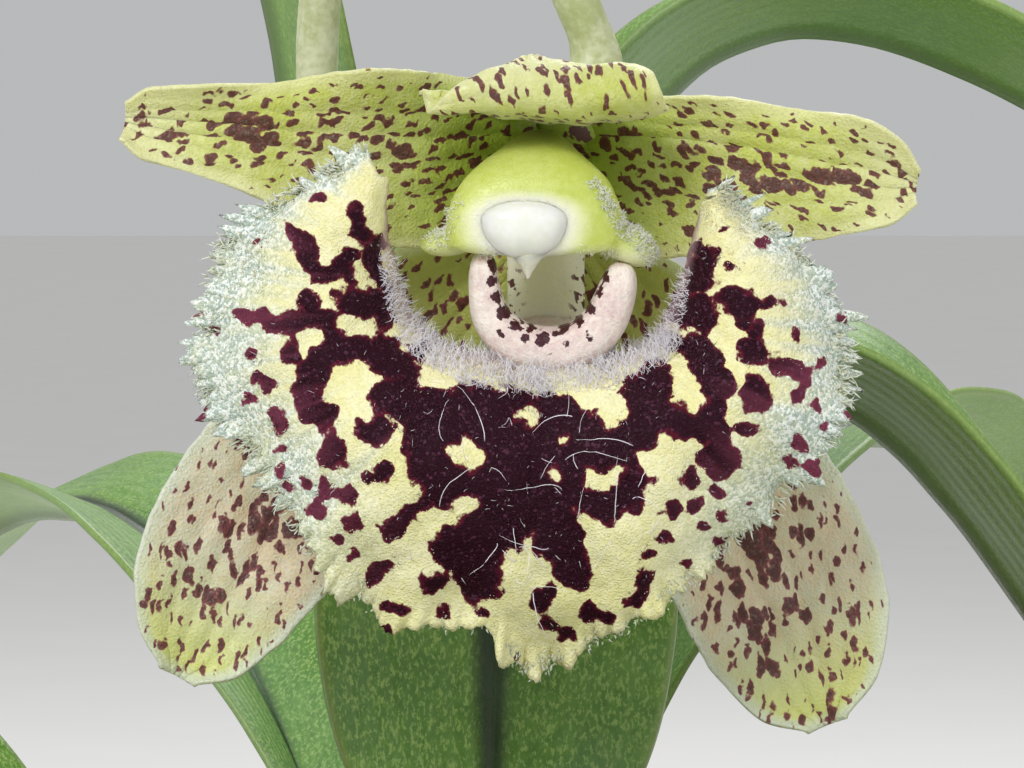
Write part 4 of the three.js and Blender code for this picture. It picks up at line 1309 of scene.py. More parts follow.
class ORCHID_OT_tepals(bpy.types.Operator):
    """Makes the three sepals and two petals with their flecks"""

    bl_idname = "orchid.tepals"
    bl_label = "Sepals and petals"

    def execute(self, context):
        settings = context.scene.orchid
        finishes = {
            "petal": tepal_finish(
                "Petal", tuple(settings.petal), tint(166, 188, 60), tint(222, 222, 168), tint(224, 224, 174),
                tint(106, 36, 42), 1.25,
            ),
            "sepal": tepal_finish(
                "Side sepal", tuple(settings.sepal), tint(186, 192, 96), tint(218, 226, 210),
                tint(206, 216, 112), tint(126, 46, 60), 1.15,
            ),
        }
        for order, (name, shape) in enumerate(TEPALS.items()):
            piece = self.make(order, name, shape)
            done(piece, finishes[shape["slot"]], shape["slot"], name)
        return {"FINISHED"}

    def make(self, order, name, shape):
        """A puckered blade with thin margins. Its fields lay it flat and say where it is flecked."""
        rows, columns = 130, 64
        a, b = np.linspace(0, 1, rows + 1), np.linspace(-1, 1, columns + 1)
        rib, sideways, facing, flat, lift, width = tepal_surface(shape, a, b)
        ragged = 1 + 0.02 * hum(a, 34, order)[:, None] * np.abs(b) ** 3
        middle = rib[:, None] + sideways[:, None] * (flat * ragged)[..., None] + FLOWER
        pucker = 0.16 * rough(middle, 2.2, order) + 0.07 * rough(middle, 0.8, order)
        veins = 0.05 * np.cos(b * 20) * (1 - b**2)
        middle = middle + facing[:, None] * (lift + pucker + veins)[..., None]
        length = np.linalg.norm(np.diff(rib, axis=0), axis=1).sum()
        rise = np.broadcast_to(a[:, None], flat.shape)
        laid = np.stack([rise * length, flat, np.full(flat.shape, order * 7.3)], axis=-1)
        edge = np.minimum((1 - np.abs(b)) * width / 3, (1 - a[:, None]) * length / 3)
        fields = {"flat": laid, "flecking": self.flecking(shape, a, b), "edge": edge, "along": rise}
        taper = 0.35 + 0.65 * smooth(0, 0.35, edge)
        return blade(f"spotted_{name}", middle, facing[:, None], TISSUE["petal"], fields, taper)

    def flecking(self, shape, a, b):
        """Flecks are thick in a tepal's bands and fade out at its margins."""
        density = np.full((len(a), len(b)), 0.5)
        for place_a, place_b, reach_a, reach_b, strength in shape["bands"]:
            near = ((a[:, None] - place_a) / reach_a) ** 2 + ((b - place_b) / reach_b) ** 2
            density = np.maximum(density, strength * np.exp(-near))
        return density * (1 - smooth(0.82, 1.0, np.abs(b)))


class ORCHID_OT_lip(bpy.types.Operator):
    """Makes the fringed lip, its callus and its hairs"""

    bl_idname = "orchid.lip"
    bl_label = "Lip"

    def execute(self, context):
        settings = context.scene.orchid
        self.make_blade(settings)
        self.make_callus()
        self.make_papillae(settings)
        self.make_fringe()
        self.make_hairs(settings)
        return {"FINISHED"}

    def silver(self, s, t):
        """The side margins are silvery, and the lower margin isn't."""
        upper = 1 - smooth(0.28, 0.4, np.minimum(s, 1 - s))
        streaks = 0.3 * hum(s, 70, 6.0) + 0.18 * hum(s, 190, 7.0)
        return smooth(0.48, 0.92, t + streaks * (1.3 - t)) * upper

    def make_blade(self, settings):
        """The blade with its torn, curled margin, crumpled skin and markings."""
        s, t = np.meshgrid(np.linspace(0, 1, 721), np.linspace(0, 1, 57) ** 0.95, indexing="ij")
        points, outward = lip_surface(s, t)
        facing, _ = lip_normal(s, t)
        round_it = s[:, 0]
        lower = smooth(0.3, 0.42, np.minimum(round_it, 1 - round_it))
        torn = np.full(len(round_it), LIP_TEETH_ROOT)
        for seed, (count, side, below) in enumerate(LIP_TEETH, 1):
            torn += (side + (below - side) * lower) * teeth(round_it, count, seed)
        curl = 0.45 * hum(round_it, 80, 4.0) + 0.3 * hum(round_it, 210, 5.0)
        near = smooth(0.9, 1.0, t)
        points += outward * (torn[:, None] * near)[..., None]
        crumple = (0.2 + 0.35 * t**3) * rough(points, 2.4, 3.0) + 0.1 * rough(points, 1.0, 5.0)
        crumple += 0.05 * rough(points, 0.4, 7.0)
        points += facing * (crumple + curl[:, None] * near)[..., None]
        fields = {"blotch": self.ragged_blotches(points), "silver": self.silver(s, t), "throat": t}
        taper = 1 - 0.75 * smooth(0.75, 1.0, t)
        piece = blade("fringed_lip", points, facing, TISSUE["lip"], fields, taper)
        done(piece, lip_finish(settings), "lip", "lip")

    def ragged_blotches(self, points):
        """The markings with wandering edges, swollen here and pinched there."""
        x = points[..., 0] - FLOWER[0] + 0.32 * rough(points, 1.0, 11.0) + 0.1 * rough(points, 0.4, 13.0)
        z = points[..., 2] - FLOWER[2] + 0.32 * rough(points, 1.0, 17.0) + 0.1 * rough(points, 0.4, 19.0)
        swelling = 0.05 + 0.28 * rough(points, 0.62, 23.0)
        return blotches(x, z) + swelling / MARKING_EDGE

    def make_callus(self):
        """A thick rounded horseshoe with dark marks, and the claw that carries the lip."""
        share = np.linspace(0, 1, 97)
        centres, tangents = along(CALLUS["route"], share)
        ends = np.sqrt(np.clip(1 - np.abs(2 * share - 1) ** 14, 0, 1))
        wide = profile(CALLUS["half_width"], share) * ends
        deep = CALLUS["depth"] * ends
        sideways = unit(np.cross(tangents, (0.0, 1.0, 0.0)))
        body = tube("callus", centres + FLOWER, tangents, wide, deep, 40, normals=sideways, square=0.62)
        spots = spots_of(body)
        x, _, z = (spots - FLOWER).T
        near = np.full(len(x), 9.0)
        for cx, cz, reach in CALLUS["marks"]:
            near = np.minimum(near, np.hypot(x - cx, z - cz) - reach)
        field(body, "marks", 0.5 - near / 0.6)
        place(body, spots + 0.09 * rough(spots, 0.9)[:, None] * (0, -1, 0.5))
        done(join([body, self.claw()], "lip_callus"), callus_finish(), "lip", "lip")

    def claw(self):
        """The narrow base by which the lip grows from the column's foot."""
        share = np.linspace(0, 1, 21)
        centres, tangents = along(LIP_CLAW["route"], share)
        ends = np.sqrt(np.clip(1 - np.abs(np.linspace(-1, 1, 21)) ** 8, 0, 1))
        wide, deep = LIP_CLAW["wide"] * ends, LIP_CLAW["deep"] * ends
        sideways = np.tile([1.0, 0.0, 0.0], (21, 1))
        claw = tube("claw", centres + FLOWER, tangents, wide, deep, 24, normals=sideways)
        field(claw, "marks", np.zeros(len(claw.data.vertices)))
        return claw

    def scatter(self, draw, count, s_range=(0, 1), t_range=(0, 1)):
        """Random places on the lip's upper face, in ranges round it and out to its margin."""
        s, t = draw.uniform(*s_range, count), draw.uniform(*t_range, count)
        normal, here = lip_normal(s, t)
        return s, t, normal, here + normal * (TISSUE["lip"] / 2 - 0.05)

    def make_papillae(self, settings):
        """Short papillae all over the lip's upper face, longer towards its silvery sides."""
        draw = np.random.default_rng(11)
        s, t, normal, roots = self.scatter(draw, settings.papillae, t_range=(0.06, 0.97))
        silver = self.silver(s, t)
        dark = self.on_markings(roots)
        lengths = draw.uniform(0.05, 0.12, len(s)) * (1 + 2.2 * silver)
        ways = normal + draw.normal(0, 0.35, normal.shape)
        tones = {"tone": 1.0 - dark}
        piece = strands("lip_papillae", roots, ways, lengths, 0.036, 0.4, 12, steps=1, fields=tones)
        done(piece, hair_finish("Papillae", tuple(settings.lip), tint(244, 246, 232)), "lip")

    def on_markings(self, roots):
        """Which of the roots are on the maroon markings."""
        return blotches(roots[:, 0] - FLOWER[0], roots[:, 2] - FLOWER[2]) > 0.5

    def make_fringe(self):
        """Fingers that stand out round the lip's margin."""
        draw = np.random.default_rng(13)
        count = 1500
        s = draw.uniform(0.0, 1.0, count)
        t = draw.uniform(0.93, 1.0, count)
        normal, here = lip_normal(s, t)
        _, outward = lip_surface(s, t)
        side = self.silver(s, np.ones(count))
        lengths = draw.uniform(0.3, 0.75, count) * (0.45 + 0.65 * side)
        ways = outward + normal * draw.normal(0, 0.5, (count, 1)) + draw.normal(0, 0.45, normal.shape)
        roots = here + outward * draw.uniform(-0.1, 0.5, (count, 1))
        tones = {"tone": np.ones(count)}
        piece = strands("lip_fringe", roots, ways, lengths, 0.06, 1.1, 14, steps=3, fields=tones)
        done(piece, hair_finish("Fringe", tint(206, 210, 178), tint(238, 244, 238)), "lip")

    def make_hairs(self, settings):
        """Woolly white hairs round the callus, long curly ones below it, and short dark ones."""
        draw = np.random.default_rng(15)
        parts = []
        for seed, kind in enumerate(HAIRS.values(), 20):
            _, _, normal, roots = self.scatter(draw, kind["count"], kind["round"], kind["out"])
            if kind["tone"] == 0:
                inside = self.on_markings(roots)
                normal, roots = normal[inside], roots[inside]
            shortest, longest = kind["length"]
            lengths = draw.uniform(shortest, longest or settings.hair_length, len(roots))
            sparkling = draw.random(len(roots)) < SPARKLE["share"]
            tones = np.maximum(kind["tone"], SPARKLE["tone"] * sparkling)
            ways = normal * 0.8 + (draw.normal(0, 0.45, normal.shape) + (0, 0, 0.25))
            radius = kind["radius"] or settings.hair_thickness
            parts.append(strands(
                "hairs", roots, ways, lengths, radius, kind["curl"], seed, steps=kind["steps"],
                fields={"tone": tones},
            ))
        piece = join(parts, "lip_hairs")
        done(piece, hair_finish("White hairs", tint(248, 240, 252), tint(255, 255, 255)), "lip")


class ORCHID_OT_column(bpy.types.Operator):
    """Makes the column's green hood with its wings, foot and beak, and the white anther cap"""

    bl_idname = "orchid.column"
    bl_label = "Column and anther cap"

    def execute(self, context):
        settings = context.scene.orchid
        parts = [self.hood(), self.foot(), self.beak()]
        for number, wing in enumerate(WINGS):
            parts.append(self.ball(f"wing_{number}", wing["at"], wing["size"], wing["tilt"]))
        column = join(parts, "green_column")
        for voxel, rounds in ((0.26, 6), (0.12, 4)):
            column.data.remesh_voxel_size = voxel * MM
            pick(column)
            bpy.ops.object.voxel_remesh()
            apply(column, "SMOOTH", factor=0.5, iterations=rounds)
        seat = self.cap("seat", -0.01)
        apply(column, "BOOLEAN", operation="DIFFERENCE", object=seat, solver="EXACT")
        bpy.data.objects.remove(seat)
        self.mark(column)
        done(column, column_finish(settings), "column", "column")
        cap = self.cap("white_cap", 0.0)
        spots = spots_of(cap)
        centre = np.array(ANTHER["at"]) + FLOWER
        away = spots - centre
        groove = 0.06 * np.exp(-((away[:, 0] / 0.25) ** 2)) * (away[:, 2] < 0.4)
        place(cap, spots - unit(away) * groove[:, None])
        done(cap, cap_finish(), "anther", "anther_cap")
        self.frost(column)
        return {"FINISHED"}

    def hood(self):
        """A bell: round above, nearly straight below, widest low down."""
        share = np.linspace(0, 1, 41)
        angle = np.linspace(0, 2 * np.pi, 49)
        depth, half, low, high = (profile([cut[k] for cut in COLUMN], share)[:, None] for k in range(4))
        x, z = np.sin(angle)[None], np.cos(angle)[None]
        close = np.sqrt(np.clip(1 - np.abs(2 * share - 1) ** 24, 0, 1))[:, None]
        x = np.sign(x) * np.abs(x) ** HOOD["fullness"]
        middle = low + (high - low) * HOOD["shoulder"]
        upper = (high - middle) * np.abs(z) ** HOOD["crest"]
        lower = (low - middle) * np.abs(z) ** HOOD["flatness"]
        height = middle + np.where(z > 0, upper, lower) * close
        points = np.stack([
            HOOD["middle"] * share[:, None] + x * half * close, np.broadcast_to(depth, height.shape), height,
        ], axis=-1)
        return seal(grid("hood", points + FLOWER), 0.01)

    def foot(self):
        """A flattened stem that goes down behind the callus."""
        share = np.linspace(0, 1, 31)
        centres, tangents = along(COLUMN_FOOT["route"], share)
        ends = np.sqrt(np.clip(1 - np.abs(2 * share - 1) ** 10, 0, 1))
        sideways = unit(np.cross(tangents, (1.0, 0.0, 0.0)))
        wide, deep = COLUMN_FOOT["width"] * ends, COLUMN_FOOT["depth"] * ends
        return tube("foot", centres + FLOWER, tangents, wide, deep, 24, normals=sideways, fields=False)

    def beak(self):
        """A spike that hangs from the hood's front edge."""
        share = np.linspace(0, 1, 15)
        start, end = np.array(BEAK["at"]), np.array(BEAK["tip"])
        centres = start + (end - start) * share[:, None] + FLOWER
        tangents = np.broadcast_to(unit(end - start), centres.shape)
        radius = BEAK["radius"] * (1 - share) ** 1.5 + 0.07
        radius[[0, -1]] = 0
        return tube("beak", centres, tangents, radius, radius, 16, fields=False)

    def ball(self, name, at, size, tilt):
        """A rounded lobe of the given half sizes, tilted in the viewer's plane by degrees."""
        add = bpy.ops.mesh.primitive_uv_sphere_add
        piece = primitive(add, name, segments=48, ring_count=28, radius=MM)
        spots = spots_of(piece) * np.asarray(size)
        turn = math.radians(tilt)
        x = spots[:, 0] * math.cos(turn) + spots[:, 2] * math.sin(turn)
        z = spots[:, 2] * math.cos(turn) - spots[:, 0] * math.sin(turn)
        return place(piece, np.stack([x, spots[:, 1], z], axis=1) + np.asarray(at) + FLOWER)

    def cap(self, name, room):
        """The cap is flat on top and longer below, where the beak hangs."""
        piece = self.ball(name, ANTHER["at"], np.add(ANTHER["size"], room), 0)
        centre = np.array(ANTHER["at"]) + FLOWER
        away = spots_of(piece) - centre
        away[:, 2] *= np.where(away[:, 2] < 0, ANTHER["drop"], 1)
        return place(piece, away + centre)

    def mark(self, column):
        """Fields for its finish: pale foot and flecked sides, a rim of painted glow round the cap with the
        hood's paler lower edge, and beak.
        """
        spots = spots_of(column) - FLOWER
        x, y, z = spots.T
        cap_x, _, cap_z = ANTHER["at"]
        reach_x, _, reach_z = ANTHER["size"]
        half_height = np.where(z < cap_z, reach_z * ANTHER["drop"], reach_z)
        out = np.hypot((x - cap_x) / reach_x, (z - cap_z) / half_height)
        front = 1 - smooth(-3.2, -2.2, y)
        lower_edge = 0.6 * (1 - smooth(-4.3, -3.3, z))
        sides = smooth(0.8, 1.6, np.abs(x - 0.3))
        field(column, "foot", smooth(-0.6, 0.6, y) * (1 - smooth(-3.4, -2.2, z)))
        field(column, "marks", smooth(0.0, 1.2, y) * (1 - smooth(-3.4, -2.6, z)) * sides)
        field(column, "beak", (1 - smooth(-4.7, -4.1, z)) * front * (np.abs(x - BEAK["at"][0]) < 1.2))
        # The rim field: a painted glow round the cap, and the hood's paler lower edge.
        field(column, "rim", front * np.maximum(1 - smooth(1.0, 1.7, out), lower_edge))
        place(column, spots + FLOWER + 0.05 * rough(spots, 1.2)[:, None])

    def frost(self, column):
        """Granular white hairs along the ridges of the hood and on its wings."""
        spots = spots_of(column) - FLOWER
        normals = np.zeros(len(spots) * 3)
        column.data.vertices.foreach_get("normal", normals)
        draw = np.random.default_rng(31)
        picked = []
        for (x, z), reach, count in FROST:
            near = (np.hypot(spots[:, 0] - x, spots[:, 2] - z) < reach) & (spots[:, 1] < -1.4)
            picked.append(draw.choice(np.flatnonzero(near), count))
        picked = np.concatenate(picked)
        roots = spots[picked] + FLOWER + draw.uniform(-0.05, 0.05, (len(picked), 3))
        ways = normals.reshape(-1, 3)[picked] + draw.normal(0, 0.6, (len(picked), 3))
        lengths = draw.uniform(0.12, 0.42, len(roots))
        tones = {"tone": np.ones(len(roots))}
        piece = strands("column_hairs", roots, ways, lengths, 0.032, 1.5, 32, steps=2, fields=tones)
        done(piece, hair_finish("Frosted hairs", tint(226, 230, 196), tint(255, 255, 250)), "column")


class ORCHID_OT_stalk(bpy.types.Operator):
    """Makes the flower stalk with its bracts and swollen ovary"""

    bl_idname = "orchid.stalk"
    bl_label = "Flower stalk"

    def execute(self, context):
        share = np.linspace(0, 1, 241)
        centres, tangents = along(STALK_ROUTE, share)
        ovary = smooth(*STALK["ovary_start"], share)
        radius = STALK["radius"] + (STALK["ovary"] - STALK["radius"]) * ovary
        radius = radius * (1 + 0.03 * hum(share, 60)) + STALK["throat"] * smooth(0.98, 0.995, share)
        radius[[0, -1]] = 0
        stem = tube("stem", centres, tangents, radius, radius, 28)
        field(stem, "bract", np.zeros(len(stem.data.vertices)))
        away = np.linalg.norm(spots_of(stem) - np.array(STALK_ROUTE[-1]), axis=1)
        field(stem, "throat", 1 - smooth(2.6, 3.4, away))
        parts = [stem] + [self.bract(number, start) for number, start in enumerate(BRACTS["starts"])]
        piece = join(parts, "bracted_stalk")
        done(piece, stalk_finish(), "stalk", "flower_stalk")
        return {"FINISHED"}

    def bract(self, number, start):
        """A papery sheath round the stalk, tight at its base and pointed on one side."""
        step, angle = np.linspace(0, 1, 29)[:, None], np.linspace(0, 2 * np.pi, 41)
        point = ((1 + np.cos(angle - number * 2.4)) / 2) ** 1.6
        height = BRACTS["reach"] * (0.55 + 0.55 * point) * (1 + 0.03 * np.cos(9 * angle))
        spots, ways = along(STALK_ROUTE, start + step * height)
        across = unit(np.cross(ways, (0.0, 1.0, 0.0)))
        out = np.cross(ways, across)
        flare = BRACTS["flare"] * step**2.5 + 0.05 * np.sin(step * 9 + 3 * angle)
        radius = STALK["radius"] + BRACTS["room"] + flare
        ring = np.cos(angle)[:, None] * across + np.sin(angle)[:, None] * out
        bract = grid(f"bract_{number}", spots + ring * radius[..., None])
        field(bract, "along", np.broadcast_to(step, radius.shape))
        field(bract, "around", np.broadcast_to(np.cos(angle), radius.shape))
        apply(seal(bract), "SOLIDIFY", thickness=BRACTS["thickness"] * MM, offset=0)
        field(bract, "bract", np.ones(len(bract.data.vertices)))
        field(bract, "throat", np.zeros(len(bract.data.vertices)))
        return bract


class ORCHID_OT_leaves(bpy.types.Operator):
    """Makes the folded leaves of both fans"""

    bl_idname = "orchid.leaves"
    bl_label = "Leaves"

    def execute(self, context):
        finish = leaf_finish(context.scene.orchid)
        for shoot_name, shoot in SHOOTS.items():
            for number, leaf in enumerate(shoot["leaves"], 1):
                name = f"{shoot_name}_leaf_{number}"
                piece = self.make(name, shoot, leaf)
                done(piece, finish, "leaf", name)
        return {"FINISHED"}

    def make(self, name, shoot, leaf):
        """A folded, slightly waved blade with a keel under its midrib."""
        rows, columns = 130, 36
        a, b = np.linspace(0, 1, rows + 1), np.linspace(-1, 1, columns + 1)
        path = leaf_path(shoot, leaf, rows)
        heading = np.radians(leaf.azimuth + leaf.turn * a)
        slope = np.radians(profile(leaf.rise, a))
        round_tip = np.sqrt(1 - 0.97 * smooth(0.93, 1, a) ** 3)
        half = leaf.width / 2 * profile(LEAF_WIDTH, a) * round_tip
        fold = np.radians(profile(LEAF_FOLD, a))
        across, up = leaf_frame(heading, slope)
        soft = np.sqrt(b**2 + 0.0016) - 0.04
        waves = 0.3 * np.sin(a[:, None] * 17 + 2 * np.sign(b)) * np.abs(b) ** 3
        points = path[:, None] + across[:, None] * (b * (half * np.cos(fold))[:, None])[..., None]
        points = points + up[:, None] * (soft * (half * np.sin(fold))[:, None] + waves)[..., None]
        points = points + up[:, None] * (0.12 * rough(points, 4.0))[..., None]
        fields = {
            "along": np.broadcast_to(a[:, None], points.shape[:2]),
            "across": np.broadcast_to(b[None], points.shape[:2]),
        }
        taper = 0.45 + 0.55 * (1 - np.abs(b) ** 4)
        keel = 0.55 * np.exp(-((b / 0.1) ** 2)) * np.ones((rows + 1, 1))
        return blade(f"folded_{name}", points, up[:, None], TISSUE["leaf"], fields, taper, keel)


def leaf_start(shoot, leaf):
    """Where a leaf's sheath starts in the crown, and the way that it goes from there."""
    azimuth, rise = math.radians(leaf.azimuth), math.radians(leaf.rise[0])
    out = np.array([math.cos(azimuth), math.sin(azimuth), 0])
    start = np.array([shoot["x"], shoot["y"], MIX["top"] - 2]) + out * leaf.out
    return start, out * math.cos(rise) + np.array([0, 0, math.sin(rise)])


def leaf_path(shoot, leaf, rows):
    """Midrib of a leaf, walked in short steps along its slope."""
    start, direction = leaf_start(shoot, leaf)
    a = (np.arange(rows) + 0.5) / rows
    heading, slope = np.radians(leaf.azimuth + leaf.turn * a), np.radians(profile(leaf.rise, a))
    step = np.stack([np.cos(heading) * np.cos(slope), np.sin(heading) * np.cos(slope), np.sin(slope)], axis=1)
    walk = np.concatenate([[np.zeros(3)], np.cumsum(step * leaf.length / rows, axis=0)])
    return start + direction * (SHEATH["length"] + CLEAR) + walk


def leaf_frame(heading, slope):
    """Directions across a folded blade and up from its midrib."""
    x, y = np.cos(heading), np.sin(heading)
    across = np.stack([-y, x, np.zeros_like(heading)], axis=-1)
    up = np.stack([-x * np.sin(slope), -y * np.sin(slope), np.cos(slope)], axis=-1)
    return across, up


class ORCHID_OT_shoots(bpy.types.Operator):
    """Makes the crowns with their leaf sheaths, and the roots"""

    bl_idname = "orchid.shoots"
    bl_label = "Shoots and roots"

    def execute(self, context):
        settings = context.scene.orchid
        sheath_skin, root_skin = sheath_finish(settings), root_finish()
        for name, shoot in SHOOTS.items():
            parts = [self.crown(shoot)] + [self.sheath(shoot, leaf) for leaf in shoot["leaves"]]
            done(join(parts, f"sheathed_{name}_shoot"), sheath_skin, "shoot", f"{name}_shoot")
            roots = [self.root(shoot, angle) for angle in shoot["roots"]]
            done(join(roots, f"{name}_roots"), root_skin, "shoot", f"{name}_shoot")
        return {"FINISHED"}

    def crown(self, shoot):
        """A fibrous mound, longer across its fan, that the sheaths grow from."""
        count = 25
        low, high = MIX["top"] - CROWN["buried"], MIX["top"] + CROWN["height"]
        share = np.linspace(0, 1, count)
        swell = np.sqrt(np.clip(1 - np.abs(2 * share - 1) ** 3, 0, 1)) * (1 + 0.04 * np.sin(share * 38))
        centres = np.tile([shoot["x"], shoot["y"], 0.0], (count, 1))
        centres[:, 2] = low + (high - low) * share
        fan = math.radians(shoot["fan"])
        upwards = np.tile([0.0, 0.0, 1.0], (count, 1))
        sideways = np.tile([math.cos(fan), math.sin(fan), 0.0], (count, 1))
        wide, deep = shoot["span"] * swell, CROWN["half"] * swell
        piece = tube("crown", centres, upwards, wide, deep, 40, normals=sideways, fields=False)
        spots = spots_of(piece)
        fibres = rough(spots * (1, 1, 0.3), 1.1)
        place(piece, spots + 0.45 * fibres[:, None] * unit((spots - centres.mean(axis=0)) * (1, 1, 0.3)))
        field(piece, "along", 0.12 * fibres)
        field(piece, "across", (spots_of(piece)[:, 2] - MIX["top"]) / 18)
        field(piece, "front", np.ones(len(piece.data.vertices)))
        return piece

    def sheath(self, shoot, leaf):
        """The folded foot of a leaf, which widens down into the crown."""
        start, direction = leaf_start(shoot, leaf)
        a, b = np.linspace(0, 1, 33), np.linspace(-1, 1, 25)
        top = leaf.width / 2 * LEAF_WIDTH[0]
        half = top + SHEATH["flare"] * (1 - a)
        fold = math.radians(LEAF_FOLD[0])
        heading = np.full(len(a), math.radians(leaf.azimuth))
        slope = np.full(len(a), math.radians(leaf.rise[0]))
        across, up = leaf_frame(heading, slope)
        middle = start + direction * (a * SHEATH["length"])[:, None]
        soft = np.sqrt(b**2 + 0.01) - 0.1
        points = middle[:, None] + across[:, None] * (b * half[:, None] * math.cos(fold))[..., None]
        points = points + up[:, None] * (soft * half[:, None] * math.sin(fold))[..., None]
        fields = {
            "along": np.broadcast_to(a[:, None], points.shape[:2]),
            "across": np.broadcast_to(b[None], points.shape[:2]),
        }
        taper = 1 - 0.55 * np.abs(b) ** 4
        return blade("sheath", points, up[:, None], TISSUE["sheath"], fields, taper)

    def root(self, shoot, angle):
        """A root that comes out of the crown at its angle, runs over the bark and dips into it."""
        way = np.array([math.cos(math.radians(angle)), math.sin(math.radians(angle)), 0])
        route = [np.array([shoot["x"], shoot["y"], MIX["top"] + up]) + way * out for out, up in ROOT["route"]]
        share = np.linspace(0, 1, 61)
        centres, tangents = along(route, share)
        radius = ROOT["radius"] * (1 + 0.08 * hum(share, 14, angle))
        radius[[0, -1]] = 0
        return tube("root", centres, tangents, radius, radius, 20)


def taper_at(z):
    """Outer radius of the pot's wall at a height, without its rim."""
    top = POT["rim_radius"] - POT["rim_step"]
    return POT["foot_radius"] + (top - POT["foot_radius"]) * z / POT["height"]


def rounded(outline, radius, steps=5):
    """An outline with its corners, apart from its ends, turned into small arcs."""
    outline = np.asarray(outline, float)
    points = [outline[0]]
    for before, corner, after in zip(outline, outline[1:], outline[2:]):
        reach = min(radius, np.linalg.norm(corner - before) / 2.2, np.linalg.norm(after - corner) / 2.2)
        first = corner + unit(before - corner) * reach
        last = corner + unit(after - corner) * reach
        for w in np.linspace(0, 1, steps):
            points.append((1 - w) ** 2 * first + 2 * w * (1 - w) * corner + w * w * last)
    points.append(outline[-1])
    filled = []
    for one, other in zip(points, points[1:]):
        parts = max(1, int(np.linalg.norm(other - one) / 1.8))
        filled += [one + (other - one) * k / parts for k in range(parts)]
    return filled + [points[-1]]


class ORCHID_OT_pot(bpy.types.Operator):
    """Makes the thrown clay pot with its drain holes"""

    bl_idname = "orchid.pot"
    bl_label = "Pot"

    def execute(self, context):
        band = POT["height"] - POT["rim_height"]
        outline = rounded([
            (0, 0), (POT["foot_radius"] + 0.3, 0), (taper_at(band), band), (POT["rim_radius"], band),
            (POT["rim_radius"], POT["height"]), (taper_at(POT["height"]) - POT["wall"], POT["height"]),
            (taper_at(POT["floor"]) - POT["wall"], POT["floor"]), (0, POT["floor"]),
        ], 1.3)
        pot = revolve("thrown_pot", outline, 144)
        for number in range(POT["drains"]):
            angle = 2 * math.pi * (number + 0.5) / POT["drains"]
            out = POT["drain_ring"]
            at = Vector((out * math.cos(angle), out * math.sin(angle), POT["floor"] / 2)) * MM
            drill = primitive(
                bpy.ops.mesh.primitive_cylinder_add, "drill", vertices=40, radius=POT["drain_radius"] * MM,
                depth=4 * POT["floor"] * MM, location=at,
            )
            apply(pot, "BOOLEAN", operation="DIFFERENCE", object=drill, solver="EXACT")
            bpy.data.objects.remove(drill)
        spots = spots_of(pot)
        radial = spots * (1, 1, 0)
        outside = smooth(0.5, 4, spots[:, 2])
        thrown = 0.09 * np.sin(spots[:, 2] * 1.5 + rough(spots, 30))
        thrown += 0.25 * rough(spots, 22) + 0.08 * rough(spots, 5)
        place(pot, spots + unit(radial) * (thrown * outside)[:, None])
        done(pot, clay_finish(context.scene.orchid), "clay", "pot", smooth_angle=40)
        return {"FINISHED"}


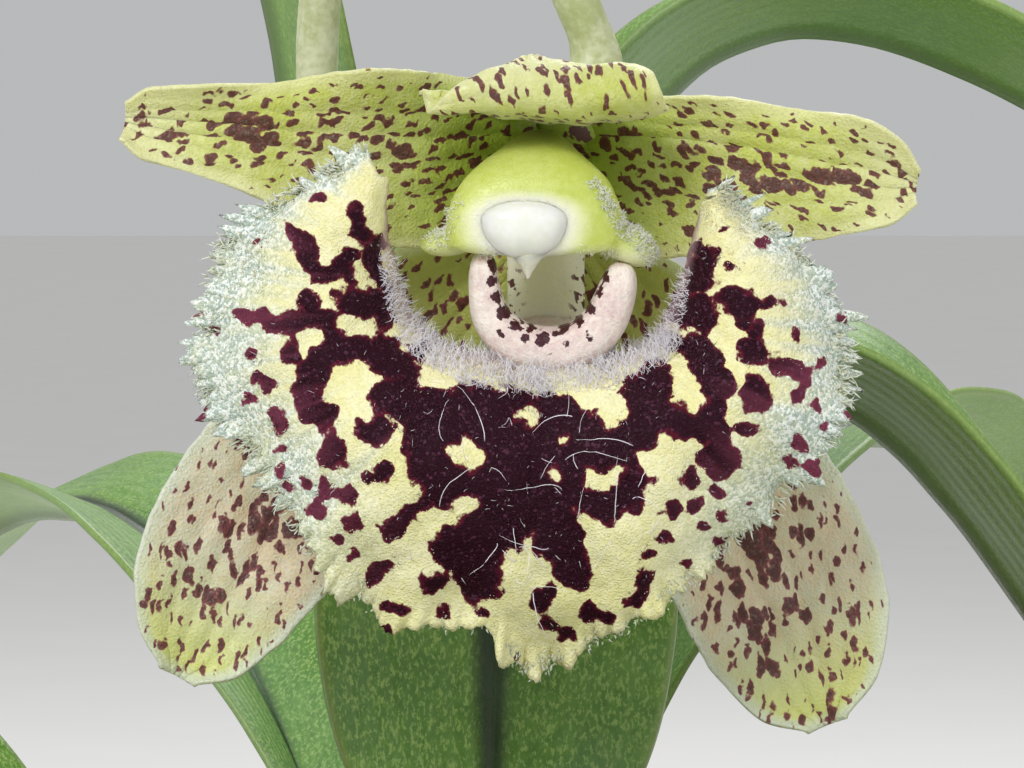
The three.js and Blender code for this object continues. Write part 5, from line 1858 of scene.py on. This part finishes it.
class ORCHID_OT_bark(bpy.types.Operator):
    """Fills the pot with bark chips and a little moss"""

    bl_idname = "orchid.bark"
    bl_label = "Bark and moss"

    def execute(self, context):
        settings = context.scene.orchid
        bed = self.bed()
        chips = [self.chip(seed, 6) for seed in range(5)]
        crumbs = [self.chip(seed, 3) for seed in range(5)]
        laid = self.lay(chips, crumbs)
        for master in chips + crumbs:
            bpy.data.objects.remove(master)
        done(join([bed, laid], "bark_chips"), bark_finish(settings), "bark", "potting_mix", smooth_angle=32)
        self.make_moss()
        return {"FINISHED"}

    def bed(self):
        """The mix below the chips: it fills the pot just clear of its wall, with a lumpy top."""

        def wall(z):
            return taper_at(z) - POT["wall"] - CLEAR - 0.2

        low, high = MIX["bottom"], MIX["top"] - 1.2
        outline = rounded([(0, low), (wall(low), low), (wall(high), high), (0, high)], 1.0)
        bed = revolve("bed", outline, 96)
        spots = spots_of(bed)
        top = smooth(high - 3, high, spots[:, 2])
        lumps = 0.8 * rough(spots, 5) + 0.5 * rough(spots, 2)
        place(bed, spots + np.outer(lumps * top, (0, 0, 1)))
        field(bed, "tone", 0.1 + 0.2 * rough(spots, 6))
        field(bed, "grain", spots)
        return bed

    def chip(self, seed, cuts):
        """One bark chip of unit size: a slab with worn corners, a slanting outline and split ends."""
        chip = primitive(bpy.ops.mesh.primitive_cube_add, f"chip_{seed}", size=1)
        bpy.ops.object.mode_set(mode="EDIT")
        bpy.ops.mesh.select_all(action="SELECT")
        bpy.ops.mesh.subdivide(number_cuts=cuts)
        bpy.ops.object.mode_set(mode="OBJECT")
        shape = spots_of(chip) * MM
        x, y, _ = shape.T
        corner = 1 - 0.1 * np.sum(np.abs(2 * shape) ** 6, axis=1)
        shape = shape * (corner / corner.max())[:, None]
        shift = seed * 13.7
        lean, narrowing = math.sin(shift), math.cos(shift)
        shape[:, 0] += 0.35 * lean * y + 0.12 * rough(shape * (0.5, 7, 3), 1, shift) * np.sign(x)
        shape[:, 1] *= 1 - 0.5 * narrowing * x + 0.16 * rough(shape * (5, 0.5, 2), 1, shift + 3)
        warp = 0.25 * rough(shape * (2, 3, 0.1), 1, shift + 5)
        shape[:, 2] += warp + 0.06 * rough(shape * (3, 11, 2), 1, shift + 9)
        return place(chip, shape / MM)

    def spread(self, draw):
        """Size, turn and place of each chip: the large ones lie as the frame's do."""
        lots = []
        reach = taper_at(MIX["top"]) - POT["wall"] - 9
        for i in range(MIX["chips"]):
            size = np.multiply(MIX["chip"], (draw(0.7, 1.3), draw(0.7, 1.3), draw(0.8, 1.2)))
            turn = (math.radians(draw(-14, 14)), math.radians(draw(-14, 14)), draw(0, math.pi))
            out, angle = math.sqrt((i + 0.5) / MIX["chips"]) * reach, i * math.radians(137.5)
            at = (out * math.cos(angle), out * math.sin(angle), MIX["top"] + draw(-1.2, 0))
            lots.append((size * 1.04, turn, at))
        for _ in range(MIX["small_chips"]):
            size = np.array([draw(4, 8), draw(2.5, 5), draw(1.4, 2.6)])
            turn = (math.radians(draw(-50, 50)), math.radians(draw(-50, 50)), draw(0, math.pi))
            out, angle = math.sqrt(draw(0.01, 1)) * (reach + 4.5), draw(0, 2 * math.pi)
            at = (out * math.cos(angle), out * math.sin(angle), MIX["top"] + draw(-0.6, 1.0))
            lots.append((size, turn, at))
        return lots

    def lay(self, chips, crumbs):
        """Copies of the chips, with smaller crumbs between them. Each has its own tone and grain."""
        draw = lottery(7)
        points, faces, tones, grains, count = [], [], [], [], 0
        for i, (size, turn, at) in enumerate(self.spread(draw)):
            kind = chips if i < MIX["chips"] else crumbs
            master = kind[i % len(kind)]
            spots = spots_of(master) * MM * size
            points.append(spots @ turned(*turn).T + at)
            faces += [tuple(count + v for v in face.vertices) for face in master.data.polygons]
            tones += [draw(0, 1)] * len(spots)
            grains.append(spots + 31.7 * i)
            count += len(spots)
        laid = mesh_piece("chips", np.concatenate(points), faces)
        field(laid, "tone", tones)
        field(laid, "grain", np.concatenate(grains))
        return laid

    def make_moss(self):
        """Small tufts of moss between the chips."""
        draw = np.random.default_rng(41)
        count = MOSS["leaves"]
        roots, ways = [], []
        for angle, out in MOSS["tufts"]:
            x, y = out * math.cos(math.radians(angle)), out * math.sin(math.radians(angle))
            offset = draw.normal(0, MOSS["spread"], (count, 2))
            dome = 1.4 * np.exp(-np.sum(offset**2, axis=1) / 6)
            roots.append(np.column_stack([x + offset[:, 0], y + offset[:, 1], MIX["top"] + 0.5 + dome]))
            ways.append(np.column_stack([offset * 0.35, np.ones(count)]))
        roots, ways = np.concatenate(roots), np.concatenate(ways)
        tufts = strands("moss", roots, ways, draw.uniform(0.8, 1.8, len(roots)), 0.13, 1.2, 42, steps=4)
        done(tufts, moss_finish(), "bark")


def lottery(seed):
    """The frame's own row of draws, which is the same on every run."""

    def draw(low, high):
        nonlocal seed
        seed = seed * 16807 % 2147483647
        return low + (high - low) * seed / 2147483647

    return draw


def turned(x, y, z):
    """A turn about X, then Y, then Z."""
    about_x = np.array([[1, 0, 0], [0, math.cos(x), -math.sin(x)], [0, math.sin(x), math.cos(x)]])
    about_y = np.array([[math.cos(y), 0, math.sin(y)], [0, 1, 0], [-math.sin(y), 0, math.cos(y)]])
    about_z = np.array([[math.cos(z), -math.sin(z), 0], [math.sin(z), math.cos(z), 0], [0, 0, 1]])
    return about_z @ about_y @ about_x


OPERATORS = (
    ORCHID_OT_stage, ORCHID_OT_pot, ORCHID_OT_bark, ORCHID_OT_shoots, ORCHID_OT_leaves, ORCHID_OT_stalk,
    ORCHID_OT_tepals, ORCHID_OT_lip, ORCHID_OT_column,
)


class ORCHID_PT_sidebar(bpy.types.Panel):
    """Lists the plant's sizes, colours and pieces"""

    bl_label = "Potted Orchid"
    bl_space_type = "VIEW_3D"
    bl_region_type = "UI"
    bl_category = "Orchid"

    def draw(self, context):
        for name in OrchidSettings.__annotations__:
            self.layout.prop(context.scene.orchid, name)
        for operator in OPERATORS:
            self.layout.operator(operator.bl_idname)


CLASSES = (OrchidSettings, *OPERATORS, ORCHID_PT_sidebar)


def register():
    for cls in CLASSES:
        bpy.utils.register_class(cls)
    bpy.types.Scene.orchid = PointerProperty(type=OrchidSettings)


def unregister():
    del bpy.types.Scene.orchid
    for cls in reversed(CLASSES):
        bpy.utils.unregister_class(cls)


def main():
    register()
    bpy.ops.orchid.stage()
    bpy.ops.orchid.pot()
    bpy.ops.orchid.bark()
    bpy.ops.orchid.shoots()
    bpy.ops.orchid.leaves()
    bpy.ops.orchid.stalk()
    bpy.ops.orchid.tepals()
    bpy.ops.orchid.lip()
    bpy.ops.orchid.column()


if __name__ == "__main__":
    main()
